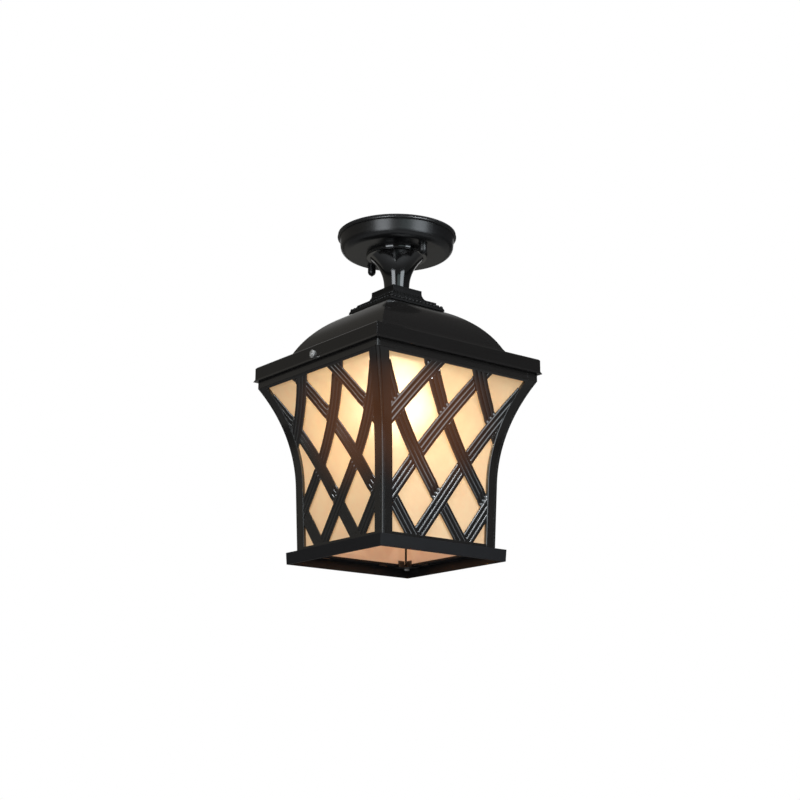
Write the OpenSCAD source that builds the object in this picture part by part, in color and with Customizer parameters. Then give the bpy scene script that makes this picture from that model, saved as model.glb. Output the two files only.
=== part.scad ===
// Porch ceiling lantern: a round ceiling canopy, a trumpet stem, a square moulded pedestal, a domed
// roof with a skirt, and a flared square cage of four woven lattice panels with curved glass behind
// them. The lamp hangs from a bracket in the canopy; the cage drops off the roof to reach the lamp.
// Origin: the ceiling plane on the lamp's axis. +Z up, so the whole part lies below z = 0.
// The two roof screws are on the front (-Y) and back (+Y), the two knob nuts on the left and right.

/* [Canopy] */
// Diameter over the canopy's rolled lip
canopy_d = 118; // [112:1:150]
// Height from the ceiling to the canopy's underside
canopy_h = 20.5; // [18:0.5:30]
// Diameter of the canopy's flat underside
canopy_flat_d = 95; // [94:1:100]
// How far the rolled lip stands out from the wall
lip_out = 2; // [1:0.25:3]
// Height of the rolled lip
lip_h = 2.5; // [2:0.25:4]
// Thickness of the canopy's sheet
sheet_t = 1.2; // [0.8:0.1:2]
// Thickness of the foam gasket against the ceiling
gasket_t = 1.5; // [1:0.25:3]
// Width of the foam gasket's ring
gasket_w = 4.5; // [4:0.5:6]

/* [Ceiling bracket] */
// Distance between the middles of the two box slots
box_spacing = 79.4; // [76:0.2:82]
// End-to-end length of a box slot
box_slot = 14; // [8:0.5:18]
// Width of a box slot
box_slot_w = 4.6; // [4:0.1:5]
// Gap between the bracket's ends and the gasket
bracket_gap = 2; // [1:0.5:4]
// Width of the bracket's slotted arm
bracket_w = 22; // [18:1:24]
// Length of the arm that holds the knob studs
stud_arm_l = 100; // [94:1:104]
// Width of the arm that holds the knob studs
stud_arm_w = 18; // [14:1:22]
// Thickness of the bracket's plate
bracket_t = 2; // [1.5:0.25:3]
// How far the stud arm steps down from the ceiling
bracket_step = 4; // [3.5:0.25:5]
// Distance of the earth screw from the axis
earth_x = 16; // [13:0.5:20]

/* [Knob nuts] */
// Distance between the two knob nuts
knob_spacing = 82; // [74:1:84]
// Diameter of a knob nut
knob_d = 8; // [7.5:0.1:9]
// Height of a knob nut
knob_h = 10.2; // [9:0.1:14]
// Thread diameter of the studs and of the roof screws
stud_d = 4; // [3.5:0.1:5]
// How far a stud reaches below the canopy
stud_out = 7; // [6:0.25:8]
// Diameter of a knob washer
knob_washer_d = 9.2; // [8:0.1:12]
// Thickness of a knob washer
knob_washer_t = 0.8; // [0.5:0.1:1.5]

/* [Stem and pedestal] */
// Height of the trumpet stem
stem_h = 38.9; // [30:0.1:60]
// Diameter of the stem's flange under the canopy
flange_d = 59.6; // [54:0.1:64]
// Thickness of the stem's flange
flange_t = 3.7; // [2.5:0.1:6]
// Diameter of the stem's narrow end
stem_d = 25; // [22:0.5:30]
// Radius of the trumpet's curve
trumpet_r = 41.7; // [36:0.1:60]
// Height of the straight length below the trumpet's curve
stem_foot = 4.2; // [2:0.1:8]
// Wall of the stem
stem_t = 2.6; // [2:0.1:4]
// Height of the square pedestal
pedestal_h = 21.6; // [20:0.1:30]
// Width of the pedestal's top plate
plinth_w = 35; // [30:0.5:36]
// Height of the pedestal's top plate
plinth_h = 2.8; // [2:0.1:4]
// Radius of the hollow moulding below the top plate
cavetto_r = 10; // [8:0.1:10.2]
// Width of the pedestal's middle step
step_w = 55.4; // [54:0.2:58]
// Width of the pedestal's foot
pedestal_w = 67; // [64:0.5:72]
// Radius of the rounded moulding on the foot
ovolo_r = 5; // [4:0.1:5.4]

/* [Roof] */
// Width of the roof over the lower edge of its skirt
roof_w = 200; // [196:1:206]
// Radius of the roof's dome
dome_r = 81; // [78:0.5:84]
// Width of the flat on top of the dome
dome_flat = 63.6; // [60:0.2:66]
// Height of the dome above the shelf
dome_h = 51.7; // [44:0.1:54]
// How far the dome's foot spreads over the shelf
foot_out = 3.3; // [1:0.1:5]
// Height of the dome's straight foot
foot_h = 11.7; // [8:0.1:14]
// Height of the roof's skirt
skirt_h = 14.8; // [13.5:0.1:20]
// How far the lip of the skirt stands out
skirt_lip = 1.4; // [0.5:0.1:2.5]
// Height of the lip of the skirt
skirt_lip_h = 2.5; // [1:0.1:4]
// Wall of the skirt
skirt_t = 1.6; // [1:0.1:2.5]
// Wall of the dome and of the shelf
roof_t = 2.4; // [1.8:0.1:3]
// Height of the roof screws above the skirt's lower edge
roof_screw_up = 6.3; // [5.8:0.1:6.8]
// Length of a roof screw under its head
roof_screw_l = 16; // [14:0.5:20]

/* [Cage] */
// Height from the skirt's lower edge to the top of the base
cage_h = 169.1; // [150:0.1:200]
// Width of the cage where it stands on the base
cage_foot_w = 133.4; // [128:0.2:138]
// Lean of the cage's straight lower walls, in degrees
lean = 1.7; // [0.5:0.1:2.5]
// Height of the cage's straight lower walls
straight_h = 62.6; // [56:0.1:70]
// Height of the upright head that shows below the skirt, above the flare
head_band = 7.2; // [6.5:0.1:9]
// Gap between the cage's head and the inside of the skirt
head_gap = 0.4; // [0.3:0.05:0.5]
// How far the cage's head reaches up into the roof
head_up = 10.5; // [10:0.1:11]
// Thickness of a lattice panel
panel_t = 3; // [2.4:0.1:4]
// Width of a panel's corner post
post_w = 11.6; // [9:0.1:14]
// Height of a panel's top rail below the skirt
top_rail = 9.7; // [8:0.1:12]
// Height of a panel's bottom rail
bottom_rail = 4.3; // [3:0.1:8]
// Width of one lattice cell, from crossing to crossing
cell_w = 57.4; // [50:0.1:64]
// Height of one lattice cell, from crossing to crossing
cell_h = 77.2; // [70:0.1:84]
// Width of a lattice bar
bar_w = 13.6; // [10:0.1:16]
// How deep the bars lie behind the face of the posts
bar_sink = 0.8; // [0.4:0.1:1.2]
// Gap between two panels at a corner
mitre_gap = 0.1; // [0.05:0.05:0.3]

/* [Glass] */
// Thickness of the curved glass
glass_t = 2.5; // [2:0.1:3]
// Gap between a panel and its glass
glass_gap = 0.4; // [0.3:0.1:0.6]
// Gap between two panes at a corner
pane_gap = 2.4; // [1:0.1:5]
// Height of the glass's top edge below the skirt's lower edge
glass_down = 7; // [6.5:0.1:8]

/* [Base] */
// How far the base band stands out beyond the cage's foot
base_out = 7.3; // [6:0.1:11]
// Height of the base band
base_h = 11.2; // [10:0.1:16]
// How far the base band draws in towards its lower edge
base_in = 0.6; // [0:0.1:1.5]
// Wall of the base band
base_t = 1.8; // [1.2:0.1:2.5]
// Thickness of the ledge that carries the panels and the glass
ledge_t = 1.8; // [1.2:0.1:2.5]
// Width of a riveted tab under a panel
tab_w = 8; // [6:0.5:12]
// Distance of a riveted tab from the middle of its panel
tab_u = 34; // [20:1:40]
// Thickness of a corner clip
clip_t = 1.2; // [0.8:0.1:1.5]
// Length of the part of a corner clip that holds a pane
clip_l = 7; // [5:0.5:10]
// Height of a corner clip above the ledge
clip_up = 3.2; // [2:0.1:5]

/* [Lamp] */
// Outside diameter of the threaded tube
tube_d = 9.9; // [9.5:0.1:10.5]
// Bore of the threaded tube
tube_bore = 6.6; // [5:0.1:7]
// Diameter of the lampholder
holder_d = 39; // [37:0.5:42]
// Height of the lampholder
holder_h = 35.8; // [33:0.1:38]
// Diameter of the lamp's screw cap
lamp_cap_d = 26.3; // [26:0.1:26.6]
// Diameter of the lamp's glass bulb
bulb_d = 60; // [50:1:64]
// Distance from the lamp's contact to the middle of its round bulb
bulb_l = 77; // [74:1:82]
// Thickness of the glass bulb
bulb_t = 1; // [0.6:0.1:1.5]

/* [Hidden] */
$fn = 96;

// Clearances: a thread or shaft in its hole, a screw in its passing hole, and a free-moving part
fit = 0.05;
pass = 0.25;
free = 0.3;
// Reach of a cut beyond the faces that it opens
over = 1;

// Levels from the ceiling down
z_lip = -gasket_t;
z_canopy = -canopy_h;
z_stem = z_canopy - stem_h;
z_roof = z_stem - pedestal_h;
z_shelf = z_roof - dome_h;
z_skirt = z_shelf - skirt_h;
z_base = z_skirt - cage_h;
z_bottom = z_base - base_h;
z_head = z_skirt + head_up;
z_roof_screw = z_skirt + roof_screw_up;
z_glass = z_skirt - glass_down;

// Canopy: lip, wall and rounded edge
lip_r = canopy_d / 2;
wall_top_r = lip_r - lip_out;
canopy_flat_r = canopy_flat_d / 2;
edge_r = wall_top_r - lip_out / 2 - canopy_flat_r;
z_edge = z_canopy + edge_r;

// Knobs and studs
knob_x = knob_spacing / 2;
stud_r = stud_d / 2;
stud_head_r = stud_d * 0.95;
stud_head_h = stud_d * 0.55;
nut_t = stud_d * 0.8;
nut_af = stud_d * 1.75;
z_knob = z_canopy - knob_washer_t;
z_stud_arm = -bracket_step - bracket_t;
gasket_r = lip_r - 0.5;
bracket_l = 2 * (gasket_r - gasket_w - bracket_gap);

// Threaded tube and what it clamps
tube_r = tube_d / 2;
tube_hole_r = tube_r + pass;
washer_t = 1.2;
tube_nut_t = 4.5;
tube_nut_af = tube_d + 4.2;
tube_washer_r = 12;
z_tube_nut = z_canopy + sheet_t + washer_t;
z_tube_top = z_tube_nut + tube_nut_t + 4;
z_lower_washer = z_roof - roof_t - washer_t;

// Lampholder stack, hung on the tube below the roof
cap_t = 1.2;
hub_r = tube_r + 3;
hub_h = 5.5;
cap_skirt = 9;
z_cap_plate = z_lower_washer - hub_h;
z_cap_skirt = z_cap_plate + cap_t - cap_skirt;
z_tube_end = z_cap_plate - 0.8;
z_holder = z_cap_plate - 2;
z_holder_end = z_holder - holder_h;
holder_r = holder_d / 2;
block_t = 4.8;
z_block = z_holder - block_t;
shell_t = 0.6;
lamp_r = lamp_cap_d / 2;
shell_r = lamp_r + free + shell_t;
contact_t = 0.8;
z_lamp_tip = z_block - contact_t - 0.1;
lamp_contact_h = 0.9;
lamp_insulator_h = 2.6;
lamp_cap_h = 23.5;
lamp_cap_t = 0.4;
z_lamp_cap = z_lamp_tip - lamp_contact_h - lamp_insulator_h;
z_lamp_neck = z_lamp_cap - lamp_cap_h;
neck_r = lamp_r + 0.7;
bulb_r = bulb_d / 2;
z_bulb = z_lamp_tip - bulb_l;
z_neck_end = z_lamp_neck - 3;
// The neck's curve touches both the straight neck and the round bulb
neck_drop = z_neck_end - z_bulb;
neck_curve_r = (neck_r * neck_r + neck_drop * neck_drop - bulb_r * bulb_r) / (2 * (bulb_r - neck_r));
terminal_x = 11;
terminal_r = 1.5;
terminal_l = 4;

// Roof: the dome is a square vault, cut flat on top
z_dome = z_roof - sqrt(dome_r * dome_r - dome_flat * dome_flat / 4);
skirt_half = roof_w / 2 - skirt_lip;
skirt_in = skirt_half - skirt_t;
shelf_foot = sqrt(pow(dome_r, 2) - pow(z_shelf - z_dome, 2));
foot_top = sqrt(pow(dome_r, 2) - pow(z_shelf + foot_h - z_dome, 2));

// Cage: straight walls with a lean, then an arc that flares out to the head under the skirt
head_half = skirt_in - head_gap;
foot_half = cage_foot_w / 2;
base_w = cage_foot_w + 2 * base_out;
z_turn = z_base + straight_h;
turn_half = foot_half + straight_h * tan(lean);
// The flare's arc goes on from the lean of the walls and ends at the head
flare_w = head_half - turn_half;
flare_h = z_skirt - head_band - z_turn;
flare_r = (flare_w * flare_w + flare_h * flare_h) / (2 * (flare_w * cos(lean) - flare_h * sin(lean)));
flare_x = turn_half + flare_r * cos(lean);
flare_z = z_turn - flare_r * sin(lean);
frame_t = 1.5;
frame_out = head_half - panel_t;
leg_in = frame_out - frame_t;
z_frame_web = z_skirt - 3.5;
frame_lip_out = frame_out - 5.8;
z_frame_lip = z_frame_web - frame_t - 5.5;
glass_out = panel_t + glass_gap;
glass_in = glass_out + glass_t;
pane_half = foot_half - glass_in / cos(lean);
ledge_half = pane_half + 0.3;
panel_screw_d = 3;
panel_screw_u = 58;
z_panel_screw = z_skirt + 3;
panel_screw_in = 2.2;
clip_half = pane_half - free - clip_t;
clip_screw_at = ledge_half + 5.5;
clip_screw_d = 3;
nut_travel = 4;
nut_rest_gap = 0.1;
side_turn = 90;

// A solid of square plan whose half-section is the 2D child, mitred on the diagonals
module square_turned(span) {
    intersection() {
        rotate([90, 0, 0]) linear_extrude(height = span, center = true) children();
        rotate([90, 0, 90]) linear_extrude(height = span, center = true) children();
    }
}

// The 2D child, drawn across a face and upwards, pushed through the +X side
module through_side() {
    rotate([90, 0, 90]) linear_extrude(height = roof_w) children();
}

// Children of the +X side turned to side i: 0 right, 1 back, 2 left, 3 front
module on_side(i) {
    rotate([0, 0, side_turn * i]) children();
}

// A pan head with a cross recess, its flat underside at z = 0, the head above
module pan_head(r, h) {
    slot = r * 0.28;
    difference() {
        intersection() {
            cylinder(r = r, h = h);
            translate([0, 0, h - 2.2 * r]) sphere(r = 2.2 * r);
        }
        translate([-r * 0.6, -slot / 2, h * 0.4]) cube([r * 1.2, slot, h]);
        translate([-slot / 2, -r * 0.6, h * 0.4]) cube([slot, r * 1.2, h]);
    }
}

module ring(r_out, r_in, h) {
    difference() {
        cylinder(r = r_out, h = h);
        translate([0, 0, -over]) cylinder(r = r_in, h = h + 2 * over);
    }
}

module hex_nut(af, r_in, h) {
    difference() {
        cylinder(r = af / sqrt(3), h = h, $fn = 6);
        translate([0, 0, -over]) cylinder(r = r_in, h = h + 2 * over);
    }
}

// ---- Ceiling side ----

module ceiling_gasket() {
    color("dimgray")
    translate([0, 0, z_lip]) ring(gasket_r, gasket_r - gasket_w, gasket_t);
}

module ceiling_bracket() {
    arm = stud_arm_l / 2;
    bend = knob_x - 5;
    flat = bend - 6;
    color("silver")
    difference() {
        union() {
            translate([-bracket_w / 2, -bracket_l / 2, -bracket_t]) cube([bracket_w, bracket_l, bracket_t]);
            rotate([90, 0, 0]) linear_extrude(height = stud_arm_w, center = true)
                polygon([[-arm, -bracket_step], [-bend, -bracket_step], [-flat, 0], [flat, 0],
                    [bend, -bracket_step], [arm, -bracket_step], [arm, z_stud_arm], [bend - 1, z_stud_arm],
                    [flat - 1, -bracket_t], [1 - flat, -bracket_t], [1 - bend, z_stud_arm],
                    [-arm, z_stud_arm]]);
        }
        for (side = [-1, 1]) {
            translate([side * knob_x, 0, z_stud_arm - over])
                cylinder(r = stud_r + fit, h = bracket_t + 2 * over);
            for (end = [-1, 1])
                translate([0, side * box_spacing / 2 + end * (box_slot - box_slot_w) / 2, -bracket_t - over])
                    cylinder(d = box_slot_w, h = bracket_t + 2 * over);
            translate([-box_slot_w / 2, side * box_spacing / 2 - (box_slot - box_slot_w) / 2, -bracket_t - over])
                cube([box_slot_w, box_slot - box_slot_w, bracket_t + 2 * over]);
        }
        translate([earth_x, 0, -bracket_t - over]) cylinder(r = stud_r + fit, h = bracket_t + 2 * over);
    }
}

module canopy_studs() {
    color("gainsboro")
    for (side = [-1, 1]) translate([side * knob_x, 0, 0]) {
        translate([0, 0, -bracket_step]) pan_head(stud_head_r, stud_head_h);
        translate([0, 0, z_canopy - stud_out]) cylinder(r = stud_r, h = canopy_h + stud_out - bracket_step);
    }
}

module stud_lock_nuts() {
    color("gainsboro")
    for (side = [-1, 1])
        translate([side * knob_x, 0, z_stud_arm - nut_t]) hex_nut(nut_af, stud_r + fit, nut_t);
}

module earth_screw() {
    color("green")
    translate([earth_x, 0, -bracket_t]) mirror([0, 0, 1]) {
        pan_head(stud_head_r, stud_head_h);
        translate([0, 0, -bracket_t]) cylinder(r = stud_r, h = bracket_t);
    }
}

// Outline of the canopy's pan, drawn t inside its outer face
module pan_outline(t) {
    translate([0, z_canopy + t]) square([canopy_flat_r, canopy_h]);
    translate([canopy_flat_r, z_edge]) circle(r = edge_r - t);
    polygon([[0, z_edge], [canopy_flat_r + edge_r - t, z_edge], [wall_top_r - t, z_lip - lip_h],
        [wall_top_r - t, over], [0, over]]);
}

module canopy() {
    color([0.12, 0.12, 0.13])
    difference() {
        rotate_extrude() difference() {
            union() {
                intersection() {
                    pan_outline(0);
                    translate([0, z_canopy]) square([lip_r, canopy_h + z_lip]);
                }
                translate([wall_top_r - sheet_t, z_lip - lip_h]) square([lip_out / 2 + sheet_t, lip_h]);
                translate([lip_r - lip_h / 2, z_lip - lip_h / 2]) circle(d = lip_h);
            }
            pan_outline(sheet_t);
        }
        translate([0, 0, z_canopy - over]) cylinder(r = tube_hole_r, h = sheet_t + 2 * over);
        for (side = [-1, 1])
            translate([side * knob_x, 0, z_canopy - over]) cylinder(r = stud_r + pass, h = sheet_t + 2 * over);
    }
}

module knob_washer(side) {
    color([0.12, 0.12, 0.13])
    translate([side * knob_x, 0, z_knob]) ring(knob_washer_d / 2, stud_r + fit, knob_washer_t);
}

// Cap nut: a short hexagon, then a dome over a blind thread
module knob_nut(side) {
    ball_r = knob_d / 2;
    color([0.12, 0.12, 0.13])
    translate([side * knob_x, 0, z_knob]) mirror([0, 0, 1]) difference() {
        union() {
            cylinder(r = ball_r - 0.5, h = knob_h - ball_r - 0.4);
            translate([0, 0, 0.8]) cylinder(r = ball_r, h = knob_h - ball_r - 1.2);
            translate([0, 0, knob_h - ball_r - 0.4]) intersection() {
                sphere(r = ball_r);
                cylinder(r = ball_r, h = knob_d);
            }
            translate([0, 0, knob_h - 1]) cylinder(r1 = 1.4, r2 = 0.9, h = 1);
        }
        translate([0, 0, -over]) cylinder(r = stud_r + fit, h = stud_out + over);
    }
}

// ---- Centre tube, stem and pedestal ----

module threaded_tube() {
    color("darkgoldenrod")
    translate([0, 0, z_tube_end]) ring(tube_r, tube_bore / 2, z_tube_top - z_tube_end);
}

module tube_washer_upper() {
    color("silver")
    translate([0, 0, z_canopy + sheet_t]) ring(tube_washer_r, tube_hole_r, washer_t);
}

module tube_washer_lower() {
    color("silver")
    translate([0, 0, z_lower_washer]) ring(tube_washer_r, tube_hole_r, washer_t);
}

module tube_nut() {
    color("darkgoldenrod")
    translate([0, 0, z_tube_nut]) hex_nut(tube_nut_af, tube_r + fit, tube_nut_t);
}

// Trumpet curve: an arc that meets the narrow end upright, drawn t inside the outer face
module trumpet_outline(t) {
    arc_x = stem_d / 2 + trumpet_r;
    arc_z = z_stem + stem_foot;
    difference() {
        translate([0, arc_z]) square([flange_d / 2, stem_h - stem_foot]);
        translate([arc_x, arc_z]) circle(r = trumpet_r + t, $fn = 180);
    }
    translate([0, z_stem]) square([stem_d / 2 - t, stem_foot]);
}

module stem() {
    seat = 9;
    color([0.12, 0.12, 0.13])
    difference() {
        union() {
            rotate_extrude() trumpet_outline(0);
            translate([0, 0, z_canopy - flange_t]) cylinder(d = flange_d, h = flange_t);
        }
        rotate_extrude() intersection() {
            trumpet_outline(stem_t);
            translate([0, z_stem + seat]) square([flange_d / 2, stem_h - seat + over]);
        }
        translate([0, 0, z_stem - over]) cylinder(r = tube_hole_r, h = stem_h + 2 * over);
    }
}

module pedestal_outline() {
    top = plinth_w / 2;
    ledge_z = z_stem - plinth_h - cavetto_r + 0.6;
    foot = pedestal_w / 2;
    bead_z = ledge_z - 2.8;
    difference() {
        translate([-step_w / 2, bead_z]) square([step_w, z_stem - bead_z]);
        for (side = [-1, 1]) {
            translate([side * (top + cavetto_r), z_stem - plinth_h]) circle(r = cavetto_r);
            translate([side > 0 ? top : -top - step_w, z_stem - plinth_h]) square([step_w, plinth_h + over]);
            translate([side > 0 ? top + cavetto_r - 3 : -top - cavetto_r - step_w + 3, ledge_z])
                square([step_w, plinth_h + cavetto_r]);
        }
    }
    translate([-foot + ovolo_r, z_roof]) square([pedestal_w - 2 * ovolo_r, bead_z - z_roof]);
    for (side = [-1, 1]) translate([side * (foot - ovolo_r), z_roof]) intersection() {
        circle(r = ovolo_r);
        translate([-ovolo_r, 0]) square([2 * ovolo_r, ovolo_r]);
    }
}

// Cast moulding, hollow underneath down to the plate that the tube passes through
module pedestal() {
    wall = 5.5;
    color([0.12, 0.12, 0.13])
    difference() {
        square_turned(pedestal_w) pedestal_outline();
        translate([0, 0, z_stem - pedestal_h - over]) cylinder(r = tube_hole_r, h = pedestal_h + 2 * over);
        translate([wall - pedestal_w / 2, wall - pedestal_w / 2, z_roof - over])
            cube([pedestal_w - 2 * wall, pedestal_w - 2 * wall, 4 + over]);
        translate([0, 0, z_roof - over]) cylinder(r = plinth_w / 2 - 2, h = pedestal_h - plinth_h - 2 + over);
    }
}

// ---- Roof ----

module roof_outline() {
    half = roof_w / 2;
    intersection() {
        translate([0, z_dome]) circle(r = dome_r, $fn = 180);
        translate([-dome_r, z_shelf - roof_t / 2]) square([2 * dome_r, z_roof - z_shelf + roof_t / 2]);
    }
    polygon([[-shelf_foot - foot_out, z_shelf], [-foot_top, z_shelf + foot_h], [foot_top, z_shelf + foot_h],
        [shelf_foot + foot_out, z_shelf]]);
    polygon([[-half, z_skirt], [-skirt_half, z_skirt + skirt_lip_h], [-skirt_half, z_shelf - 1.2],
        [1.2 - skirt_half, z_shelf], [skirt_half - 1.2, z_shelf], [skirt_half, z_shelf - 1.2],
        [skirt_half, z_skirt + skirt_lip_h], [half, z_skirt]]);
}

module roof_hollow() {
    intersection() {
        translate([0, z_dome]) circle(r = dome_r - roof_t, $fn = 180);
        translate([-dome_r, z_shelf - roof_t - over])
            square([2 * dome_r, z_roof - z_shelf + over]);
    }
    translate([-skirt_in, z_skirt - over]) square([2 * skirt_in, skirt_h - roof_t + over]);
}

// Domed roof with a shelf and a skirt; a rib above each roof nut stops the nut from turning
module roof() {
    rib_l = nut_t + nut_travel + free;
    z_rib = z_roof_screw + nut_af / 2 + fit;
    color([0.12, 0.12, 0.13])
    difference() {
        union() {
            difference() {
                square_turned(roof_w + over) roof_outline();
                square_turned(roof_w + over) roof_hollow();
            }
            for (i = [1, 3]) on_side(i)
                translate([leg_in - free - rib_l, -nut_af / 2, z_rib])
                    cube([rib_l, nut_af, z_shelf - roof_t / 2 - z_rib]);
        }
        translate([0, 0, z_roof - roof_t - over]) cylinder(r = tube_hole_r, h = roof_t + 2 * over);
        for (i = [1, 3]) on_side(i)
            translate([skirt_in - over, 0, z_roof_screw]) rotate([0, 90, 0])
                cylinder(r = stud_r + pass, h = skirt_t + 2 * over);
    }
}

module roof_screw(i) {
    color("gainsboro")
    on_side(i) translate([skirt_half, 0, z_roof_screw]) rotate([0, 90, 0]) {
        pan_head(stud_head_r, stud_head_h);
        translate([0, 0, -roof_screw_l]) cylinder(r = stud_r, h = roof_screw_l);
    }
}

module roof_nut(i) {
    color("gainsboro")
    on_side(i) translate([leg_in - nut_rest_gap - nut_t, 0, z_roof_screw]) rotate([0, 90, 0]) difference() {
        translate([-nut_af / 2, -nut_af / 2, 0]) cube([nut_af, nut_af, nut_t]);
        translate([0, 0, -over]) cylinder(r = stud_r + fit, h = nut_t + 2 * over);
    }
}

// ---- Lampholder and lamp ----

module holder_cap() {
    color("darkgoldenrod") {
        translate([0, 0, z_cap_plate]) ring(hub_r, tube_r + fit, hub_h);
        translate([0, 0, z_cap_plate]) ring(holder_r, tube_r + fit, cap_t);
        translate([0, 0, z_cap_skirt]) ring(holder_r, holder_r - cap_t, cap_skirt);
    }
}

module lampholder() {
    color("ivory")
    difference() {
        union() {
            translate([0, 0, z_holder_end]) cylinder(r = holder_r, h = z_cap_skirt - z_holder_end);
            translate([0, 0, z_holder_end]) cylinder(r = holder_r - cap_t - fit, h = holder_h);
        }
        translate([0, 0, z_holder_end - over]) cylinder(r = shell_r + fit, h = z_block - z_holder_end + over);
        for (side = [-1, 1]) {
            translate([0, side * terminal_x, z_block - over]) cylinder(r = 1.6, h = block_t + 2 * over);
            translate([side * terminal_x, 0, z_holder - terminal_l])
                cylinder(r = terminal_r + fit, h = terminal_l + over);
        }
    }
}

module terminal_screws() {
    color("darkgoldenrod")
    for (side = [-1, 1]) translate([side * terminal_x, 0, z_holder]) {
        pan_head(terminal_r * 1.9, 1.5);
        translate([0, 0, -terminal_l]) cylinder(r = terminal_r, h = terminal_l);
    }
}

module screw_shell() {
    z_end = z_lamp_neck + 2 * free;
    color("gold") {
        translate([0, 0, z_end]) ring(shell_r, shell_r - shell_t, z_block - z_end);
        translate([0, 0, z_block - shell_t]) ring(shell_r, shell_r - 4, shell_t);
    }
}

module centre_contact() {
    color("gold")
    translate([0, 0, z_block - contact_t]) cylinder(r = 4, h = contact_t);
}

module lamp_contact() {
    color("silver")
    translate([0, 0, z_lamp_tip - lamp_contact_h]) cylinder(r = 4.6, h = lamp_contact_h);
}

module lamp_insulator() {
    color("black")
    translate([0, 0, z_lamp_cap]) cylinder(r1 = lamp_r - 0.8, r2 = 5.5, h = lamp_insulator_h);
}

module lamp_cap() {
    color("silver") {
        translate([0, 0, z_lamp_neck]) ring(lamp_r, lamp_r - lamp_cap_t, lamp_cap_h);
        translate([0, 0, z_lamp_cap - lamp_cap_t]) ring(lamp_r, lamp_r - 5, lamp_cap_t);
    }
}

// Right half of the bulb's outline, drawn t inside its outer face: a stub in the cap, a neck,
// a curve that touches the neck and the ball, and the ball
module bulb_outline(t, up) {
    ball = bulb_r - t;
    arc_x = neck_r + neck_curve_r;
    share = ball / (bulb_r + neck_curve_r);
    stub_r = lamp_r - lamp_cap_t - fit;
    intersection() {
        translate([0, z_bulb]) circle(r = ball, $fn = 120);
        translate([0, z_bulb - bulb_r]) square([bulb_r, 2 * bulb_r]);
    }
    difference() {
        translate([0, z_bulb + neck_drop * share]) square([arc_x * share, neck_drop * (1 - share)]);
        translate([arc_x, z_neck_end]) circle(r = neck_curve_r + t, $fn = 120);
    }
    translate([0, z_neck_end]) square([neck_r - t, z_lamp_neck - z_neck_end - t]);
    translate([0, z_neck_end]) square([stub_r - t, z_lamp_cap - 2 + up - z_neck_end]);
}

module lamp_bulb() {
    color("lightyellow")
    rotate_extrude($fn = 120) difference() {
        bulb_outline(0, 0);
        bulb_outline(bulb_t, over);
    }
}

// ---- Cage ----

// Half-section of a cage side from the axis out to its face, drawn t inside that face
module wall_outline(t, low, high) {
    foot_x = foot_half - t / cos(lean);
    below = 3 * over;
    difference() {
        translate([0, low]) square([head_half - t, high - low]);
        translate([flare_x, flare_z]) circle(r = flare_r + t, $fn = 240);
        polygon([[flare_x - (flare_r + t) * cos(lean), flare_z + (flare_r + t) * sin(lean)],
            [foot_x - below * tan(lean), z_base - below], [roof_w, z_base - below],
            [roof_w, flare_z + (flare_r + t) * sin(lean)]]);
    }
}

// The layer of a side between two depths behind its face, in section
module layer_outline(t_out, t_in, low, high) {
    difference() {
        wall_outline(t_out, low, high);
        wall_outline(t_in, low - over, high + over);
    }
}

module side_layer(t_out, t_in, low, high) {
    rotate([90, 0, 0]) linear_extrude(height = roof_w, center = true) layer_outline(t_out, t_in, low, high);
}

// Everything on the +X side of the two diagonals, short of them by half a gap
module mitred(gap) {
    short = gap / sqrt(2);
    intersection() {
        translate([0, 0, z_bottom]) linear_extrude(height = -z_bottom)
            polygon([[short, 0], [roof_w, short - roof_w], [roof_w, roof_w - short]]);
        children();
    }
}

// The field between a panel's posts and rails, seen from outside
module field_outline() {
    low = z_base + bottom_rail;
    high = z_skirt - top_rail;
    wall_outline(post_w, low, high);
    mirror([1, 0]) wall_outline(post_w, low, high);
}

// One opening between the bars; at an upper corner it runs on to the post
module opening_outline(side) {
    lean_in = atan2(cell_h, cell_w);
    half_w = cell_w / 2 - bar_w / 2 / sin(lean_in);
    half_h = cell_h / 2 - bar_w / 2 / cos(lean_in);
    reach = 1 + 0.6 * abs(side);
    outer = side == 0 ? half_w : side * half_w;
    polygon([[0, -half_h], [reach * outer, (reach - 1) * half_h], [reach * outer, abs(side) * half_h],
        [0, half_h], [-outer, 0]]);
}

module lattice_outline() {
    rows = 5;
    intersection() {
        field_outline();
        for (row = [0 : rows - 1], column = [-2 : 2])
            if ((row + column) % 2 == 0)
                translate([column * cell_w / 2, z_base + row * cell_h / 2])
                    opening_outline(row == rows - 1 ? sign(column) : 0);
    }
}

// Slot, open at the top, that drops away from a roof screw with the cage
module screw_slot() {
    slot_r = stud_r + pass;
    translate([leg_in - over, 0, z_roof_screw]) {
        rotate([0, 90, 0]) cylinder(r = slot_r, h = head_half - leg_in + 2 * over);
        translate([0, -slot_r, 0]) cube([head_half - leg_in + 2 * over, 2 * slot_r, head_up]);
    }
}

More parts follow.
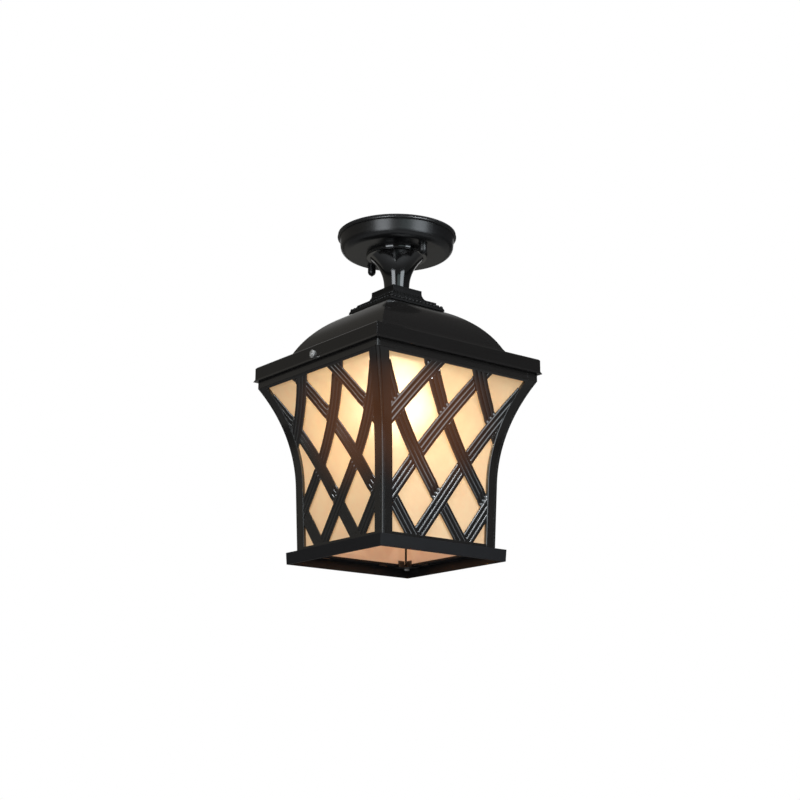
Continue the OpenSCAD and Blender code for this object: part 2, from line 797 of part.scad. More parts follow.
// Lattice panel: posts, rails and crossing bars in one casting, with two tabs riveted under the ledge
module panel(i) {
    tab_x = foot_half - panel_t + 0.3;
    head_t = 1;
    color([0.14, 0.13, 0.13])
    on_side(i) difference() {
        union() {
            mitred(mitre_gap) difference() {
                side_layer(0, panel_t, z_base, z_head);
                through_side() lattice_outline();
                intersection() {
                    side_layer(-over, bar_sink, z_base, z_head);
                    through_side() field_outline();
                }
            }
            for (side = [-1, 1]) translate([tab_x, side * tab_u - tab_w / 2, 0]) {
                translate([0, 0, z_base - ledge_t - head_t])
                    cube([panel_t - 0.8, tab_w, ledge_t + head_t + over]);
                translate([-0.4, -0.5, z_base - ledge_t - head_t]) cube([panel_t, tab_w + 1, head_t]);
            }
        }
        if (i % 2 == 1) screw_slot();
        for (side = [-1, 1]) translate([frame_out - over, side * panel_screw_u, z_panel_screw])
            rotate([0, 90, 0]) cylinder(d = panel_screw_d + 2 * fit, h = panel_screw_in + over);
    }
}

module glass(i) {
    color([0.93, 0.83, 0.62, 0.7])
    on_side(i) mitred(pane_gap) side_layer(glass_out, glass_in, z_base, z_glass);
}

// Square ring, half-width out on the outside and in on the inside
module square_ring(out, in, low, high) {
    difference() {
        translate([-out, -out, low]) cube([2 * out, 2 * out, high - low]);
        translate([-in, -in, low - over]) cube([2 * in, 2 * in, high - low + 2 * over]);
    }
}

// Folded frame inside the panels' heads; its channel holds the upper edges of the panes
module top_frame() {
    z_web = z_frame_web - frame_t;
    color([0.2, 0.2, 0.2])
    difference() {
        union() {
            square_ring(frame_out, leg_in, z_web, z_head);
            square_ring(frame_out, frame_lip_out - frame_t, z_web, z_frame_web);
            square_ring(frame_lip_out, frame_lip_out - frame_t, z_frame_lip, z_frame_web);
        }
        for (i = [0 : 3]) on_side(i) {
            if (i % 2 == 1) screw_slot();
            for (side = [-1, 1]) translate([leg_in - over, side * panel_screw_u, z_panel_screw])
                rotate([0, 90, 0]) cylinder(d = panel_screw_d + 2 * fit, h = frame_t + 2 * over);
        }
    }
}

module panel_screws() {
    color("gainsboro")
    for (i = [0 : 3], side = [-1, 1]) on_side(i)
        translate([leg_in, side * panel_screw_u, z_panel_screw]) rotate([0, -90, 0]) {
            pan_head(panel_screw_d * 0.95, panel_screw_d * 0.55);
            translate([0, 0, -frame_t - panel_screw_in + fit])
                cylinder(d = panel_screw_d, h = frame_t + panel_screw_in - fit);
        }
}

module base_outline(t, low, high) {
    half = base_w / 2 - t;
    low_half = half - base_in;
    polygon([[-low_half, low], [-half, high], [half, high], [low_half, low]]);
}

// Base band with a ledge; the panels' tabs pass through it and the glass stands on it
module base_frame() {
    tab_x = foot_half - panel_t + 0.3;
    z_ledge = z_base - ledge_t;
    color([0.14, 0.13, 0.13])
    difference() {
        square_turned(base_w + over) base_outline(0, z_bottom, z_base);
        square_turned(base_w + over) base_outline(base_t, z_bottom - over, z_ledge);
        translate([-ledge_half, -ledge_half, z_ledge - over])
            cube([2 * ledge_half, 2 * ledge_half, ledge_t + 2 * over]);
        for (i = [0 : 3]) on_side(i) {
            for (side = [-1, 1])
                translate([tab_x - fit, side * tab_u - tab_w / 2 - fit, z_ledge - over])
                    cube([panel_t - 0.8 + 2 * fit, tab_w + 2 * fit, ledge_t + 2 * over]);
            translate([clip_screw_at, clip_screw_at, z_ledge - over])
                cylinder(d = clip_screw_d + 2 * fit, h = ledge_t + 2 * over);
        }
    }
}

// Spring clip under a corner of the ledge; its two upright ends hold the feet of two panes
module corner_clip(i) {
    z_foot = z_base - ledge_t - clip_t;
    start = clip_half - clip_l - 1.3;
    end = clip_screw_at + 4.5;
    color("silver")
    on_side(i) difference() {
        union() {
            translate([start, start, z_foot]) cube([end - start, end - start, clip_t]);
            for (turn = [0, 1]) mirror([turn, -turn, 0])
                translate([clip_half, start, z_foot]) cube([clip_t, clip_l, z_base + clip_up - z_foot]);
        }
        translate([0, 0, z_foot - over]) cube([clip_half, clip_half, clip_t + 2 * over]);
        translate([clip_screw_at, clip_screw_at, z_foot - over])
            cylinder(d = clip_screw_d + 2 * fit, h = clip_t + 2 * over);
    }
}

module clip_screws() {
    color("gainsboro")
    for (i = [0 : 3]) on_side(i)
        translate([clip_screw_at, clip_screw_at, z_base - ledge_t - clip_t]) mirror([0, 0, 1]) {
            pan_head(clip_screw_d * 0.95, clip_screw_d * 0.6);
            translate([0, 0, fit - ledge_t - clip_t]) cylinder(d = clip_screw_d, h = ledge_t + clip_t - fit);
        }
}

ceiling_gasket();
ceiling_bracket();
canopy_studs();
stud_lock_nuts();
earth_screw();
canopy();
knob_washer(-1);  // knob_washer_left
knob_washer(1);  // knob_washer_right
knob_nut(-1);  // knob_nut_left
knob_nut(1);  // knob_nut_right
threaded_tube();
tube_washer_upper();
tube_nut();
stem();
pedestal();
roof();
tube_washer_lower();
holder_cap();
lampholder();
terminal_screws();
screw_shell();
centre_contact();
lamp_cap();
lamp_insulator();
lamp_contact();
lamp_bulb();
top_frame();
panel(0);  // panel_right
panel(1);  // panel_back
panel(2);  // panel_left
panel(3);  // panel_front
glass(0);  // glass_right
glass(1);  // glass_back
glass(2);  // glass_left
glass(3);  // glass_front
base_frame();
corner_clip(0);  // corner_clip_1
corner_clip(1);  // corner_clip_2
corner_clip(2);  // corner_clip_3
corner_clip(3);  // corner_clip_4
clip_screws();
panel_screws();
roof_screw(3);  // roof_screw_front
roof_screw(1);  // roof_screw_back
roof_nut(3);  // roof_nut_front
roof_nut(1);  // roof_nut_back
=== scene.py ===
# Porch ceiling lantern: the looks of its parts, from the ceiling down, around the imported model.
import math
import bmesh
import bpy
from mathutils import Matrix, Vector


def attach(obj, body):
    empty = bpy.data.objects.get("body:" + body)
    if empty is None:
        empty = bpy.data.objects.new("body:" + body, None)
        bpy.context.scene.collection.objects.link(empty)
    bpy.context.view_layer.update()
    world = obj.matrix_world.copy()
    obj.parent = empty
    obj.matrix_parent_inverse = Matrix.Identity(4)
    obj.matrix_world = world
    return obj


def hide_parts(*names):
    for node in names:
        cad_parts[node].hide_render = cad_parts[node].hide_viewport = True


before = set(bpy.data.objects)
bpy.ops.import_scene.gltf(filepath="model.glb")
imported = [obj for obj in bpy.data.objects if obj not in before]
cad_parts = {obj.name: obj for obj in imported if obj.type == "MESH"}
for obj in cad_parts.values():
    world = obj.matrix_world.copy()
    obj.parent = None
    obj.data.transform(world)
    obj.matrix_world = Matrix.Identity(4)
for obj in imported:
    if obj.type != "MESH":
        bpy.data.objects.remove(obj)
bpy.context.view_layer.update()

# ---- Camera ----
# The lantern was photographed from about a metre and a half away and from below, straight at
# one corner of the cage, with a long lens.
EYE = Vector((1.11266, -0.86762, -0.54189))
SIGHT_TURN, SIGHT_RISE, SIGHT_ROLL = (math.radians(a) for a in (141.9, 14.796, 0.258))
SENSOR, LENS = 36, 67.94
sight = Vector((math.cos(SIGHT_RISE) * math.cos(SIGHT_TURN),
                math.cos(SIGHT_RISE) * math.sin(SIGHT_TURN), math.sin(SIGHT_RISE)))
level = Vector((math.sin(SIGHT_TURN), -math.cos(SIGHT_TURN), 0))
above = level.cross(sight)
across = math.cos(SIGHT_ROLL) * level + math.sin(SIGHT_ROLL) * above
upward = math.cos(SIGHT_ROLL) * above - math.sin(SIGHT_ROLL) * level
camera_data = bpy.data.cameras.new("photo_camera")
camera_data.sensor_width = SENSOR
camera_data.lens = LENS
camera_data.clip_start, camera_data.clip_end = 0.02, 60
camera = bpy.data.objects.new("photo_camera", camera_data)
camera.matrix_world = Matrix.Translation(EYE) @ Matrix((across, upward, -sight)).transposed().to_4x4()
bpy.context.scene.collection.objects.link(camera)
bpy.context.scene.camera = camera
bpy.context.scene.view_settings.view_transform = "Standard"


# ---- Studio ----
# A white paper sweep stands behind the lantern, and the room on the photographer's side is dim.
# Soft boxes light it from the front left and the front right, over a pale floor far below.
def feed(tree, node, feeds):
    """Sets a node's inputs, to plain values or to the sockets that lead into them."""
    for key, value in feeds.items():
        if isinstance(value, bpy.types.NodeSocket):
            tree.links.new(value, node.inputs[key])
        else:
            node.inputs[key].default_value = value


def put_node(tree, kind, feeds=None, **settings):
    """Adds a node with its settings and its inputs."""
    node = tree.nodes.new(kind)
    for key, value in settings.items():
        setattr(node, key, value)
    feed(tree, node, feeds or {})
    return node


def calc(tree, operation, a, b=0.0, c=0.0, clamp=False):
    """A Math node's result."""
    return put_node(tree, "ShaderNodeMath", {0: a, 1: b, 2: c}, operation=operation,
                    use_clamp=clamp).outputs[0]


def product(tree, a, b):
    """Two values multiplied."""
    return calc(tree, "MULTIPLY", a, b)


def dot(tree, a, b):
    """Two vectors' dot product."""
    return put_node(tree, "ShaderNodeVectorMath", {0: a, 1: b}, operation="DOT_PRODUCT").outputs["Value"]


def span(tree, value, low, high, to_low=0.0, to_high=1.0):
    """A smooth Map Range node's result."""
    return put_node(tree, "ShaderNodeMapRange", {"Value": value, "From Min": low, "From Max": high,
                    "To Min": to_low, "To Max": to_high}, interpolation_type="SMOOTHSTEP").outputs[0]


def blend_colours(tree, factor, first, second):
    """A Mix node's colour."""
    return put_node(tree, "ShaderNodeMix", {0: factor, 6: first, 7: second}, data_type="RGBA").outputs[2]


PAPER_WHITE, ROOM_LOW = (1, 1, 1, 1), (0.012, 0.012, 0.012, 1)
ROOM_LEFT, ROOM_RIGHT = (0.115, 0.110, 0.098, 1), (0.040, 0.039, 0.040, 1)
ROOM_SIDES, ROOM_HORIZON = (-0.7, 0.7), (-0.10, 0.05)
FILL_LIGHT = 0.16
AHEAD = (-level.y, level.x, 0.0)
# How far a direction points ahead, sideways and up where the paper's mirror image fades in. Its
# top fades in two steps, and the third number is each step's share of white
PAPER_AHEAD, PAPER_SIDE, PAPER_FOOT = (0.2, 0.4), (0.44, 0.22), (-0.02, 0.10)
PAPER_TOPS = ((0.48, 0.34, 0.76), (0.68, 0.58, 0.12))
world = bpy.data.worlds.new("paper_backdrop")
bpy.context.scene.world = world
world.use_nodes = True
sky = world.node_tree
direction = put_node(sky, "ShaderNodeTexCoord").outputs["Generated"]
ahead, sideways = dot(sky, direction, AHEAD), dot(sky, direction, level)
skyward = put_node(sky, "ShaderNodeSeparateXYZ", {0: direction}).outputs["Z"]
paper_width = product(sky, span(sky, ahead, *PAPER_AHEAD),
                      span(sky, calc(sky, "ABSOLUTE", sideways), *PAPER_SIDE))
paper_steps = [span(sky, skyward, none, whole, 0.0, share) for none, whole, share in PAPER_TOPS]
paper_top = calc(sky, "ADD", *paper_steps)
paper_height = product(sky, span(sky, skyward, *PAPER_FOOT), paper_top)
room_tone = blend_colours(sky, span(sky, sideways, *ROOM_SIDES), ROOM_LEFT, ROOM_RIGHT)
room = blend_colours(sky, span(sky, skyward, *ROOM_HORIZON), ROOM_LOW, room_tone)
around = blend_colours(sky, product(sky, paper_width, paper_height), room, PAPER_WHITE)
rays = put_node(sky, "ShaderNodeLightPath").outputs
seen = calc(sky, "MAXIMUM", rays["Is Camera Ray"], rays["Is Transmission Ray"])
lit = put_node(sky, "ShaderNodeBackground", {"Color": PAPER_WHITE, "Strength": FILL_LIGHT})
mirrored = put_node(sky, "ShaderNodeBackground", {"Color": around})
white = put_node(sky, "ShaderNodeBackground", {"Color": PAPER_WHITE, "Strength": 1.0})
with_gloss = put_node(sky, "ShaderNodeMixShader", {0: rays["Is Glossy Ray"],
                      1: lit.outputs[0], 2: mirrored.outputs[0]})
with_paper = put_node(sky, "ShaderNodeMixShader", {0: seen, 1: with_gloss.outputs[0], 2: white.outputs[0]})
feed(sky, sky.nodes["World Output"], {0: with_paper.outputs[0]})

BOX_AWAY, LANTERN_MIDDLE = 2.2, Vector((0, 0, -0.16))


def soft_box(name, turn, rise, width, height, power, colour):
    """A soft box aimed at the lantern, turned from the camera's side to the right, in degrees."""
    data = bpy.data.lights.new(name, "AREA")
    data.shape, data.size, data.size_y = "RECTANGLE", width, height
    data.energy, data.color = power, colour
    lamp = bpy.data.objects.new(name, data)
    bearing = SIGHT_TURN + math.pi + math.radians(turn)
    tilt = math.radians(rise)
    away = Vector((math.cos(tilt) * math.cos(bearing), math.cos(tilt) * math.sin(bearing), math.sin(tilt)))
    lamp.location = away * BOX_AWAY + LANTERN_MIDDLE
    lamp.rotation_euler = away.to_track_quat("Z", "Y").to_euler()
    lamp.visible_camera = False
    lamp.visible_transmission = False
    bpy.context.scene.collection.objects.link(lamp)


# Each side has a tall, weak box and a small bright one above it; a weak panel hangs between them
COOL, COOLER, TINTED = (0.92, 0.96, 1.0), (0.86, 0.94, 1.0), (0.78, 1.0, 1.0)
soft_box("soft_box_left", turn=-27, rise=6, width=1.04, height=1.70, power=14.5, colour=(0.90, 0.95, 1.0))
soft_box("soft_box_left_high", turn=-22, rise=41, width=0.80, height=0.45, power=15, colour=COOL)
soft_box("soft_box_right", turn=46, rise=8, width=1.10, height=1.60, power=13, colour=COOLER)
soft_box("soft_box_right_high", turn=46, rise=40, width=0.70, height=0.60, power=24, colour=COOL)
soft_box("soft_box_middle", turn=18, rise=12, width=0.89, height=1.3, power=1.5, colour=TINTED)

# The floor shows as white to the camera, and mirrors in the lantern as the sweep's dim lower part
FLOOR_LEVEL, FLOOR_REACH = -1.7, 9.0
FLOOR_GREY, FLOOR_GLOW = (0.42, 0.42, 0.42, 1), 0.55
SWEEP_NEAR, SWEEP_FAR, SWEEP_SIDES = (2.2, 3.4), (7.6, 6.2), (-1.2, 1.2)
SWEEP_LEFT, SWEEP_RIGHT = (0.170, 0.163, 0.140, 1), (0.090, 0.087, 0.082, 1)
floor_mesh = bpy.data.meshes.new("floor")
floor_mesh.from_pydata([(x * FLOOR_REACH, y * FLOOR_REACH, FLOOR_LEVEL) for x, y in
                        ((-1, -1), (1, -1), (1, 1), (-1, 1))], [], [(0, 1, 2, 3)])
floor = bpy.data.objects.new("floor", floor_mesh)
bpy.context.scene.collection.objects.link(floor)
floor_paint = bpy.data.materials.new("pale_floor")
floor_paint.use_nodes = True
floor_tree = floor_paint.node_tree
floor_shader = floor_tree.nodes["Principled BSDF"]
feed(floor_tree, floor_shader, {"Base Color": FLOOR_GREY, "Roughness": 0.9, "Specular IOR Level": 0.1})
floor_rays = put_node(floor_tree, "ShaderNodeLightPath").outputs
floor_place = put_node(floor_tree, "ShaderNodeTexCoord").outputs["Object"]
floor_ahead, floor_sideways = dot(floor_tree, floor_place, AHEAD), dot(floor_tree, floor_place, level)
sweep = product(floor_tree, span(floor_tree, floor_ahead, *SWEEP_NEAR),
                span(floor_tree, floor_ahead, *SWEEP_FAR))
sweep_tone = blend_colours(floor_tree, span(floor_tree, floor_sideways, *SWEEP_SIDES),
                           SWEEP_LEFT, SWEEP_RIGHT)
floor_colour = blend_colours(floor_tree, floor_rays["Is Camera Ray"], sweep_tone, PAPER_WHITE)
floor_strength = calc(floor_tree, "MULTIPLY_ADD", floor_rays["Is Camera Ray"], FLOOR_GLOW,
                      product(floor_tree, sweep, floor_rays["Is Glossy Ray"]))
floor_glow = put_node(floor_tree, "ShaderNodeEmission", {"Color": floor_colour, "Strength": floor_strength})
floor_both = put_node(floor_tree, "ShaderNodeAddShader",
                      {0: floor_shader.outputs[0], 1: floor_glow.outputs[0]})
feed(floor_tree, floor_tree.nodes["Material Output"], {0: floor_both.outputs[0]})
floor_mesh.materials.append(floor_paint)


# ---- Gasket ----
# A flat ring of closed-cell foam rubber seals the canopy against the ceiling. It is stamped
# from sheet and glued into the canopy's rim.
def new_material(name):
    """A material with its tree, its Principled shader and the part's own coordinates."""
    material = bpy.data.materials.new(name)
    material.use_nodes = True
    tree = material.node_tree
    place = put_node(tree, "ShaderNodeTexCoord").outputs["Object"]
    return material, tree, tree.nodes["Principled BSDF"], place


def bump(tree, height, strength, distance, normal=None):
    """A Bump node's normal."""
    feeds = {"Height": height, "Strength": strength, "Distance": distance}
    if normal:
        feeds["Normal"] = normal
    return put_node(tree, "ShaderNodeBump", feeds).outputs["Normal"]


def dress(material, *names):
    """Gives CAD nodes a material."""
    for name in names:
        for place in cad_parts[name].material_slots:
            place.material = material


CELL_DARK, CELL_PALE = (0.010, 0.010, 0.010, 1), (0.028, 0.028, 0.029, 1)
foam, foam_tree, foam_shader, foam_place = new_material("closed_cell_foam")
foam_cells = put_node(foam_tree, "ShaderNodeTexVoronoi",
                      {"Vector": foam_place, "Scale": 1600}).outputs["Distance"]
feed(foam_tree, foam_shader, {"Base Color": blend_colours(foam_tree, foam_cells, CELL_DARK, CELL_PALE),
                              "Normal": bump(foam_tree, foam_cells, strength=0.5, distance=0.0003),
                              "Roughness": 0.92})
dress(foam, "ceiling_gasket")


# ---- Ceiling bracket, studs and screws ----
# The cross-shaped bracket is pressed from steel strip and zinc plated. Its two long studs hold
# the canopy, a lock nut keeps each stud in its thread, and the green screw takes the earth wire.
def noise(tree, place, scale, detail=2.0, roughness=0.5):
    """A Noise texture's value."""
    return put_node(tree, "ShaderNodeTexNoise", {"Vector": place, "Scale": scale, "Detail": detail,
                    "Roughness": roughness}).outputs["Fac"]


def shader_group(name, feeds):
    """A shader node group that gives colour, roughness and normal: its tree, inputs and end node."""
    tree = bpy.data.node_groups.new(name, "ShaderNodeTree")
    for label, kind, value in feeds:
        socket = tree.interface.new_socket(label, in_out="INPUT", socket_type=kind)
        if value is not None:
            socket.default_value = value
    for label, kind in (("Color", "NodeSocketColor"), ("Roughness", "NodeSocketFloat"),
                        ("Normal", "NodeSocketVector")):
        tree.interface.new_socket(label, in_out="OUTPUT", socket_type=kind)
    return tree, tree.nodes.new("NodeGroupInput").outputs, tree.nodes.new("NodeGroupOutput")


def wear_group(tree, shader, group, feeds):
    """Puts a shader node group's colour, roughness and normal on a Principled shader."""
    made = put_node(tree, "ShaderNodeGroup", feeds, node_tree=group).outputs
    feed(tree, shader, {"Base Color": made["Color"], "Roughness": made["Roughness"],
                        "Normal": made["Normal"]})


# Plating: a bright and a dull tone in soft clouds, with fine scratches along the part
STRETCH, SCRATCH_DULLS = (1.0, 1.0, 0.06), 0.22
plating, plating_in, plating_end = shader_group("worn_plating", [
    ("Vector", "NodeSocketVector", None), ("Bright", "NodeSocketColor", (0.8, 0.8, 0.8, 1)),
    ("Dull", "NodeSocketColor", (0.5, 0.5, 0.5, 1)), ("Grain", "NodeSocketFloat", 900.0),
    ("Gloss", "NodeSocketFloat", 0.3)])
clouds = noise(plating, plating_in["Vector"], scale=90.0, detail=4.0, roughness=0.6)
stretched = put_node(plating, "ShaderNodeVectorMath", {0: plating_in["Vector"], 1: STRETCH},
                     operation="MULTIPLY").outputs[0]
scratches = noise(plating, stretched, plating_in["Grain"], detail=3.0, roughness=0.7)
feed(plating, plating_end, {
    "Color": blend_colours(plating, span(plating, clouds, low=0.35, high=0.7),
                           plating_in["Bright"], plating_in["Dull"]),
    "Roughness": calc(plating, "MULTIPLY_ADD", scratches, SCRATCH_DULLS, plating_in["Gloss"]),
    "Normal": bump(plating, scratches, strength=0.25, distance=0.00008)})


def plated_metal(name, bright, dull, gloss, grain=900.0):
    """A plated or bare metal that shows its grain."""
    material, tree, shader, place = new_material(name)
    wear_group(tree, shader, plating, {"Vector": place, "Bright": (*bright, 1), "Dull": (*dull, 1),
                                       "Grain": grain, "Gloss": gloss})
    shader.inputs["Metallic"].default_value = 1.0
    return material


bright_zinc = plated_metal("bright_zinc", (0.62, 0.63, 0.65), (0.44, 0.46, 0.50), gloss=0.22)
dress(bright_zinc, "ceiling_bracket", "canopy_studs", "stud_lock_nuts", "tube_washer_upper",
      "tube_washer_lower")
GREEN_DARK, GREEN_PALE = (0.01, 0.16, 0.05, 1), (0.02, 0.24, 0.08, 1)
earth_green, earth_tree, earth_shader, earth_place = new_material("earth_green")
earth_tone = blend_colours(earth_tree, noise(earth_tree, earth_place, scale=500.0), GREEN_DARK, GREEN_PALE)
feed(earth_tree, earth_shader, {"Base Color": earth_tone, "Metallic": 0.6, "Roughness": 0.35})
dress(earth_green, "earth_screw")


# ---- Canopy and knob nuts ----
# The canopy is a pan spun from steel sheet with a rolled lip, powder coated satin black. Two
# black acorn nuts on thin washers hold it up against the ceiling.
FLECK_TONE, WORN_TONE = (0.014, 0.014, 0.0145, 1), (0.022, 0.022, 0.023, 1)
DUST_TONE = (0.10, 0.095, 0.085, 1)
WORN_SHARE, DUST_SHARE, DUST_DULLS, PATCH_DULLS = 0.35, 0.25, 0.4, 0.12
satin, satin_in, satin_end = shader_group("satin_black", [
    ("Vector", "NodeSocketVector", None), ("Tint", "NodeSocketColor", (0.006, 0.006, 0.0065, 1)),
    ("Sheen", "NodeSocketFloat", 0.2), ("Edge", "NodeSocketFloat", 0.0005),
    ("Peel", "NodeSocketFloat", 0.2), ("Dust", "NodeSocketFloat", 0.5)])
# Rounded paint on the edges, orange peel, flecks, and pale dust on what faces up
edge_normal = put_node(satin, "ShaderNodeBevel", {"Radius": satin_in["Edge"]}, samples=4).outputs[0]
facing = put_node(satin, "ShaderNodeNewGeometry").outputs["Normal"]
edge_mask = span(satin, dot(satin, edge_normal, facing), low=0.98, high=0.80)
peel = noise(satin, satin_in["Vector"], scale=950.0, detail=2.0, roughness=0.5)
flecks = noise(satin, satin_in["Vector"], scale=5200.0, detail=1.0, roughness=0.5)
patches = noise(satin, satin_in["Vector"], scale=38.0, detail=3.0, roughness=0.6)
up_share = put_node(satin, "ShaderNodeSeparateXYZ", {0: facing}).outputs["Z"]
dust_grain = noise(satin, satin_in["Vector"], scale=420.0, detail=5.0, roughness=0.75)
dust_lies = product(satin, span(satin, up_share, low=0.2, high=0.95),
                    span(satin, dust_grain, low=0.42, high=0.75))
dust = product(satin, dust_lies, satin_in["Dust"])
fleck_share = span(satin, flecks, low=0.45, high=0.8, to_high=0.5)
toned = blend_colours(satin, fleck_share, satin_in["Tint"], FLECK_TONE)
worn = blend_colours(satin, product(satin, edge_mask, WORN_SHARE), toned, WORN_TONE)
feed(satin, satin_end, {
    "Color": blend_colours(satin, product(satin, dust, DUST_SHARE), worn, DUST_TONE),
    "Roughness": calc(satin, "ADD", calc(satin, "MULTIPLY_ADD", patches, PATCH_DULLS, satin_in["Sheen"]),
                      product(satin, dust, DUST_DULLS)),
    "Normal": bump(satin, peel, satin_in["Peel"], distance=0.0001, normal=edge_normal)})


def black_paint(name, tint, sheen, edge=0.0005, peel_depth=0.2, dust_share=0.5, ior=1.75):
    """Satin black powder coat."""
    material, tree, shader, place = new_material(name)
    wear_group(tree, shader, satin, {"Vector": place, "Tint": (*tint, 1), "Sheen": sheen, "Edge": edge,
                                     "Peel": peel_depth, "Dust": dust_share})
    shader.inputs["IOR"].default_value = ior
    return material


COOL_BLACK = (0.005, 0.005, 0.0055)
dress(black_paint("satin_black_sheet", COOL_BLACK, sheen=0.24), "canopy")
knob_black = black_paint("satin_black_knob", COOL_BLACK, sheen=0.30, edge=0.0003)
dress(knob_black, "knob_washer_left", "knob_washer_right", "knob_nut_left", "knob_nut_right")

# ---- Threaded tube and its nut ----
# One hollow threaded tube runs from the canopy to the lampholder and clamps the stem, pedestal
# and roof together. It is steel with yellow zinc plating, as is its nut.
yellow_zinc = plated_metal("yellow_zinc", (0.66, 0.56, 0.32), (0.50, 0.44, 0.30), gloss=0.28,
                           grain=1400.0)
dress(yellow_zinc, "threaded_tube", "tube_nut")

# ---- Stem ----
# The trumpet stem is a die casting with a wide flange under the canopy. It carries the same
# powder coat, glossier, and its foot sits on the pedestal's top plate.
cast_black = black_paint("satin_black_casting", COOL_BLACK, sheen=0.06, edge=0.0006, peel_depth=0.08,
                         ior=2.1)
dress(cast_black, "stem")


def geo_group(name, *labels):
    """A Geometry Nodes tree with number inputs and a material: its tree, inputs and end node."""
    tree = bpy.data.node_groups.new(name, "GeometryNodeTree")
    tree.interface.new_socket("Geometry", in_out="INPUT", socket_type="NodeSocketGeometry")
    for label in labels:
        tree.interface.new_socket(label, in_out="INPUT", socket_type="NodeSocketFloat")
    tree.interface.new_socket("Material", in_out="INPUT", socket_type="NodeSocketMaterial")
    tree.interface.new_socket("Geometry", in_out="OUTPUT", socket_type="NodeSocketGeometry")
    return tree, tree.nodes.new("NodeGroupInput").outputs, tree.nodes.new("NodeGroupOutput")


def shape(tree, kind, feeds, **settings):
    """A node's first output, as the geometry that it gives."""
    return put_node(tree, "GeometryNode" + kind, feeds, **settings).outputs[0]


def end_tree(tree, geometry, material, end):
    """The tree's last nodes: the geometry made real, smooth and painted."""
    real = shape(tree, "RealizeInstances", {"Geometry": geometry})
    smooth = shape(tree, "SetShadeSmooth", {"Geometry": real, "Shade Smooth": True})
    feed(tree, end, {"Geometry": shape(tree, "SetMaterial", {"Geometry": smooth, "Material": material})})


def grow_mesh(name, start, tree, values):
    """Runs a Geometry Nodes tree on a mesh and gives the plain mesh that it makes."""
    holder = bpy.data.objects.new(name, start)
    bpy.context.scene.collection.objects.link(holder)
    modifier = holder.modifiers.new(name, "NODES")
    modifier.node_group = tree
    keys = {s.name: s.identifier for s in tree.interface.items_tree if s.in_out == "INPUT"}
    for label, value in values.items():
        modifier[keys[label]] = value
    bpy.context.view_layer.update()
    shaped = holder.evaluated_get(bpy.context.evaluated_depsgraph_get())
    mesh = bpy.data.meshes.new_from_object(shaped)
    holder.modifiers.remove(modifier)
    bpy.data.objects.remove(holder)
    return mesh


def add_piece(name, mesh, body, slot, *stands_for):
    """Puts a finished mesh in the scene on its body."""
    piece = bpy.data.objects.new(name, mesh)
    bpy.context.scene.collection.objects.link(piece)
    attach(piece, body)
    if stands_for:
        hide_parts(*stands_for)


# A fine polished bead runs round the flange's upper edge: an oval section, tilted, on a ring
FLANGE_BEAD_R, FLANGE_BEAD_Z, FLANGE_BEAD_BULGE, FLANGE_BEAD_HEIGHT = 0.0299, -0.0217, 0.0004, 0.0016
FLANGE_BEAD_TILT = math.radians(12)
ring_bead, ring_in, ring_end = geo_group("ring_bead", "Ring Radius", "Bead Bulge", "Bead Height", "Level")
ring_path = shape(ring_bead, "CurvePrimitiveCircle", {"Resolution": 96, "Radius": ring_in["Ring Radius"]})
ring_circle = shape(ring_bead, "CurvePrimitiveCircle", {"Resolution": 24, "Radius": 1.0})
ring_size = put_node(ring_bead, "ShaderNodeCombineXYZ", {
    "X": ring_in["Bead Bulge"], "Y": ring_in["Bead Height"], "Z": 1.0}).outputs[0]
ring_oval = shape(ring_bead, "Transform", {"Geometry": ring_circle, "Scale": ring_size,
                  "Rotation": (0.0, 0.0, FLANGE_BEAD_TILT)})
ring_tube = shape(ring_bead, "CurveToMesh", {"Curve": ring_path, "Profile Curve": ring_oval})
ring_level = put_node(ring_bead, "ShaderNodeCombineXYZ", {"Z": ring_in["Level"]}).outputs[0]
ring_placed = shape(ring_bead, "Transform", {"Geometry": ring_tube, "Translation": ring_level})
end_tree(ring_bead, ring_placed, ring_in["Material"], ring_end)
bead_black = black_paint("polished_black_bead", COOL_BLACK, sheen=0.02, edge=0.0003, peel_depth=0.05,
                         dust_share=0.0, ior=2.1)
bead_mesh = grow_mesh("flange_bead", bpy.data.meshes.new("flange_bead"), ring_bead, {
    "Ring Radius": FLANGE_BEAD_R, "Bead Bulge": FLANGE_BEAD_BULGE, "Bead Height": FLANGE_BEAD_HEIGHT,
    "Level": FLANGE_BEAD_Z, "Material": bead_black})
add_piece("flange_bead", bead_mesh, "fixture", "black_paint")

# ---- Pedestal ----
# A square cast moulding: a top plate, a hollow moulding with ribs, a step, and a rounded foot
# with a row of beads. The ribs and beads are part of the casting.
PLINTH_HALF, CAVETTO_R, CAVETTO_Z = 0.0175, 0.010, -0.0622
OVOLO_X, OVOLO_Z, OVOLO_R = 0.0285, -0.081, 0.005
BEAD_R, BEAD_PITCH, BEAD_SINK, BEAD_AT = 0.0019, 0.0044, 0.0003, math.radians(52)
RIB_R, RIB_PITCH, RIB_START, RIB_SWEEP = 0.0010, 0.0042, math.radians(205), math.radians(46)
TAPER_START, TAPER_TURN, TAPER_POWER = 0.27, 2.6, 0.6
pedestal_black = black_paint("satin_black_pedestal", (0.005, 0.005, 0.005), sheen=0.32, peel_depth=0.1,
                             ior=1.32)
dress(pedestal_black, "pedestal")


def four_sides(tree, geometry):
    """The +X side's geometry on all four sides."""
    joined = tree.nodes.new("GeometryNodeJoinGeometry")
    for quarter in range(4):
        turn = (0.0, 0.0, quarter * math.pi / 2)
        turned = shape(tree, "Transform", {"Geometry": geometry, "Rotation": turn})
        tree.links.new(turned, joined.inputs[0])
    return joined.outputs[0]


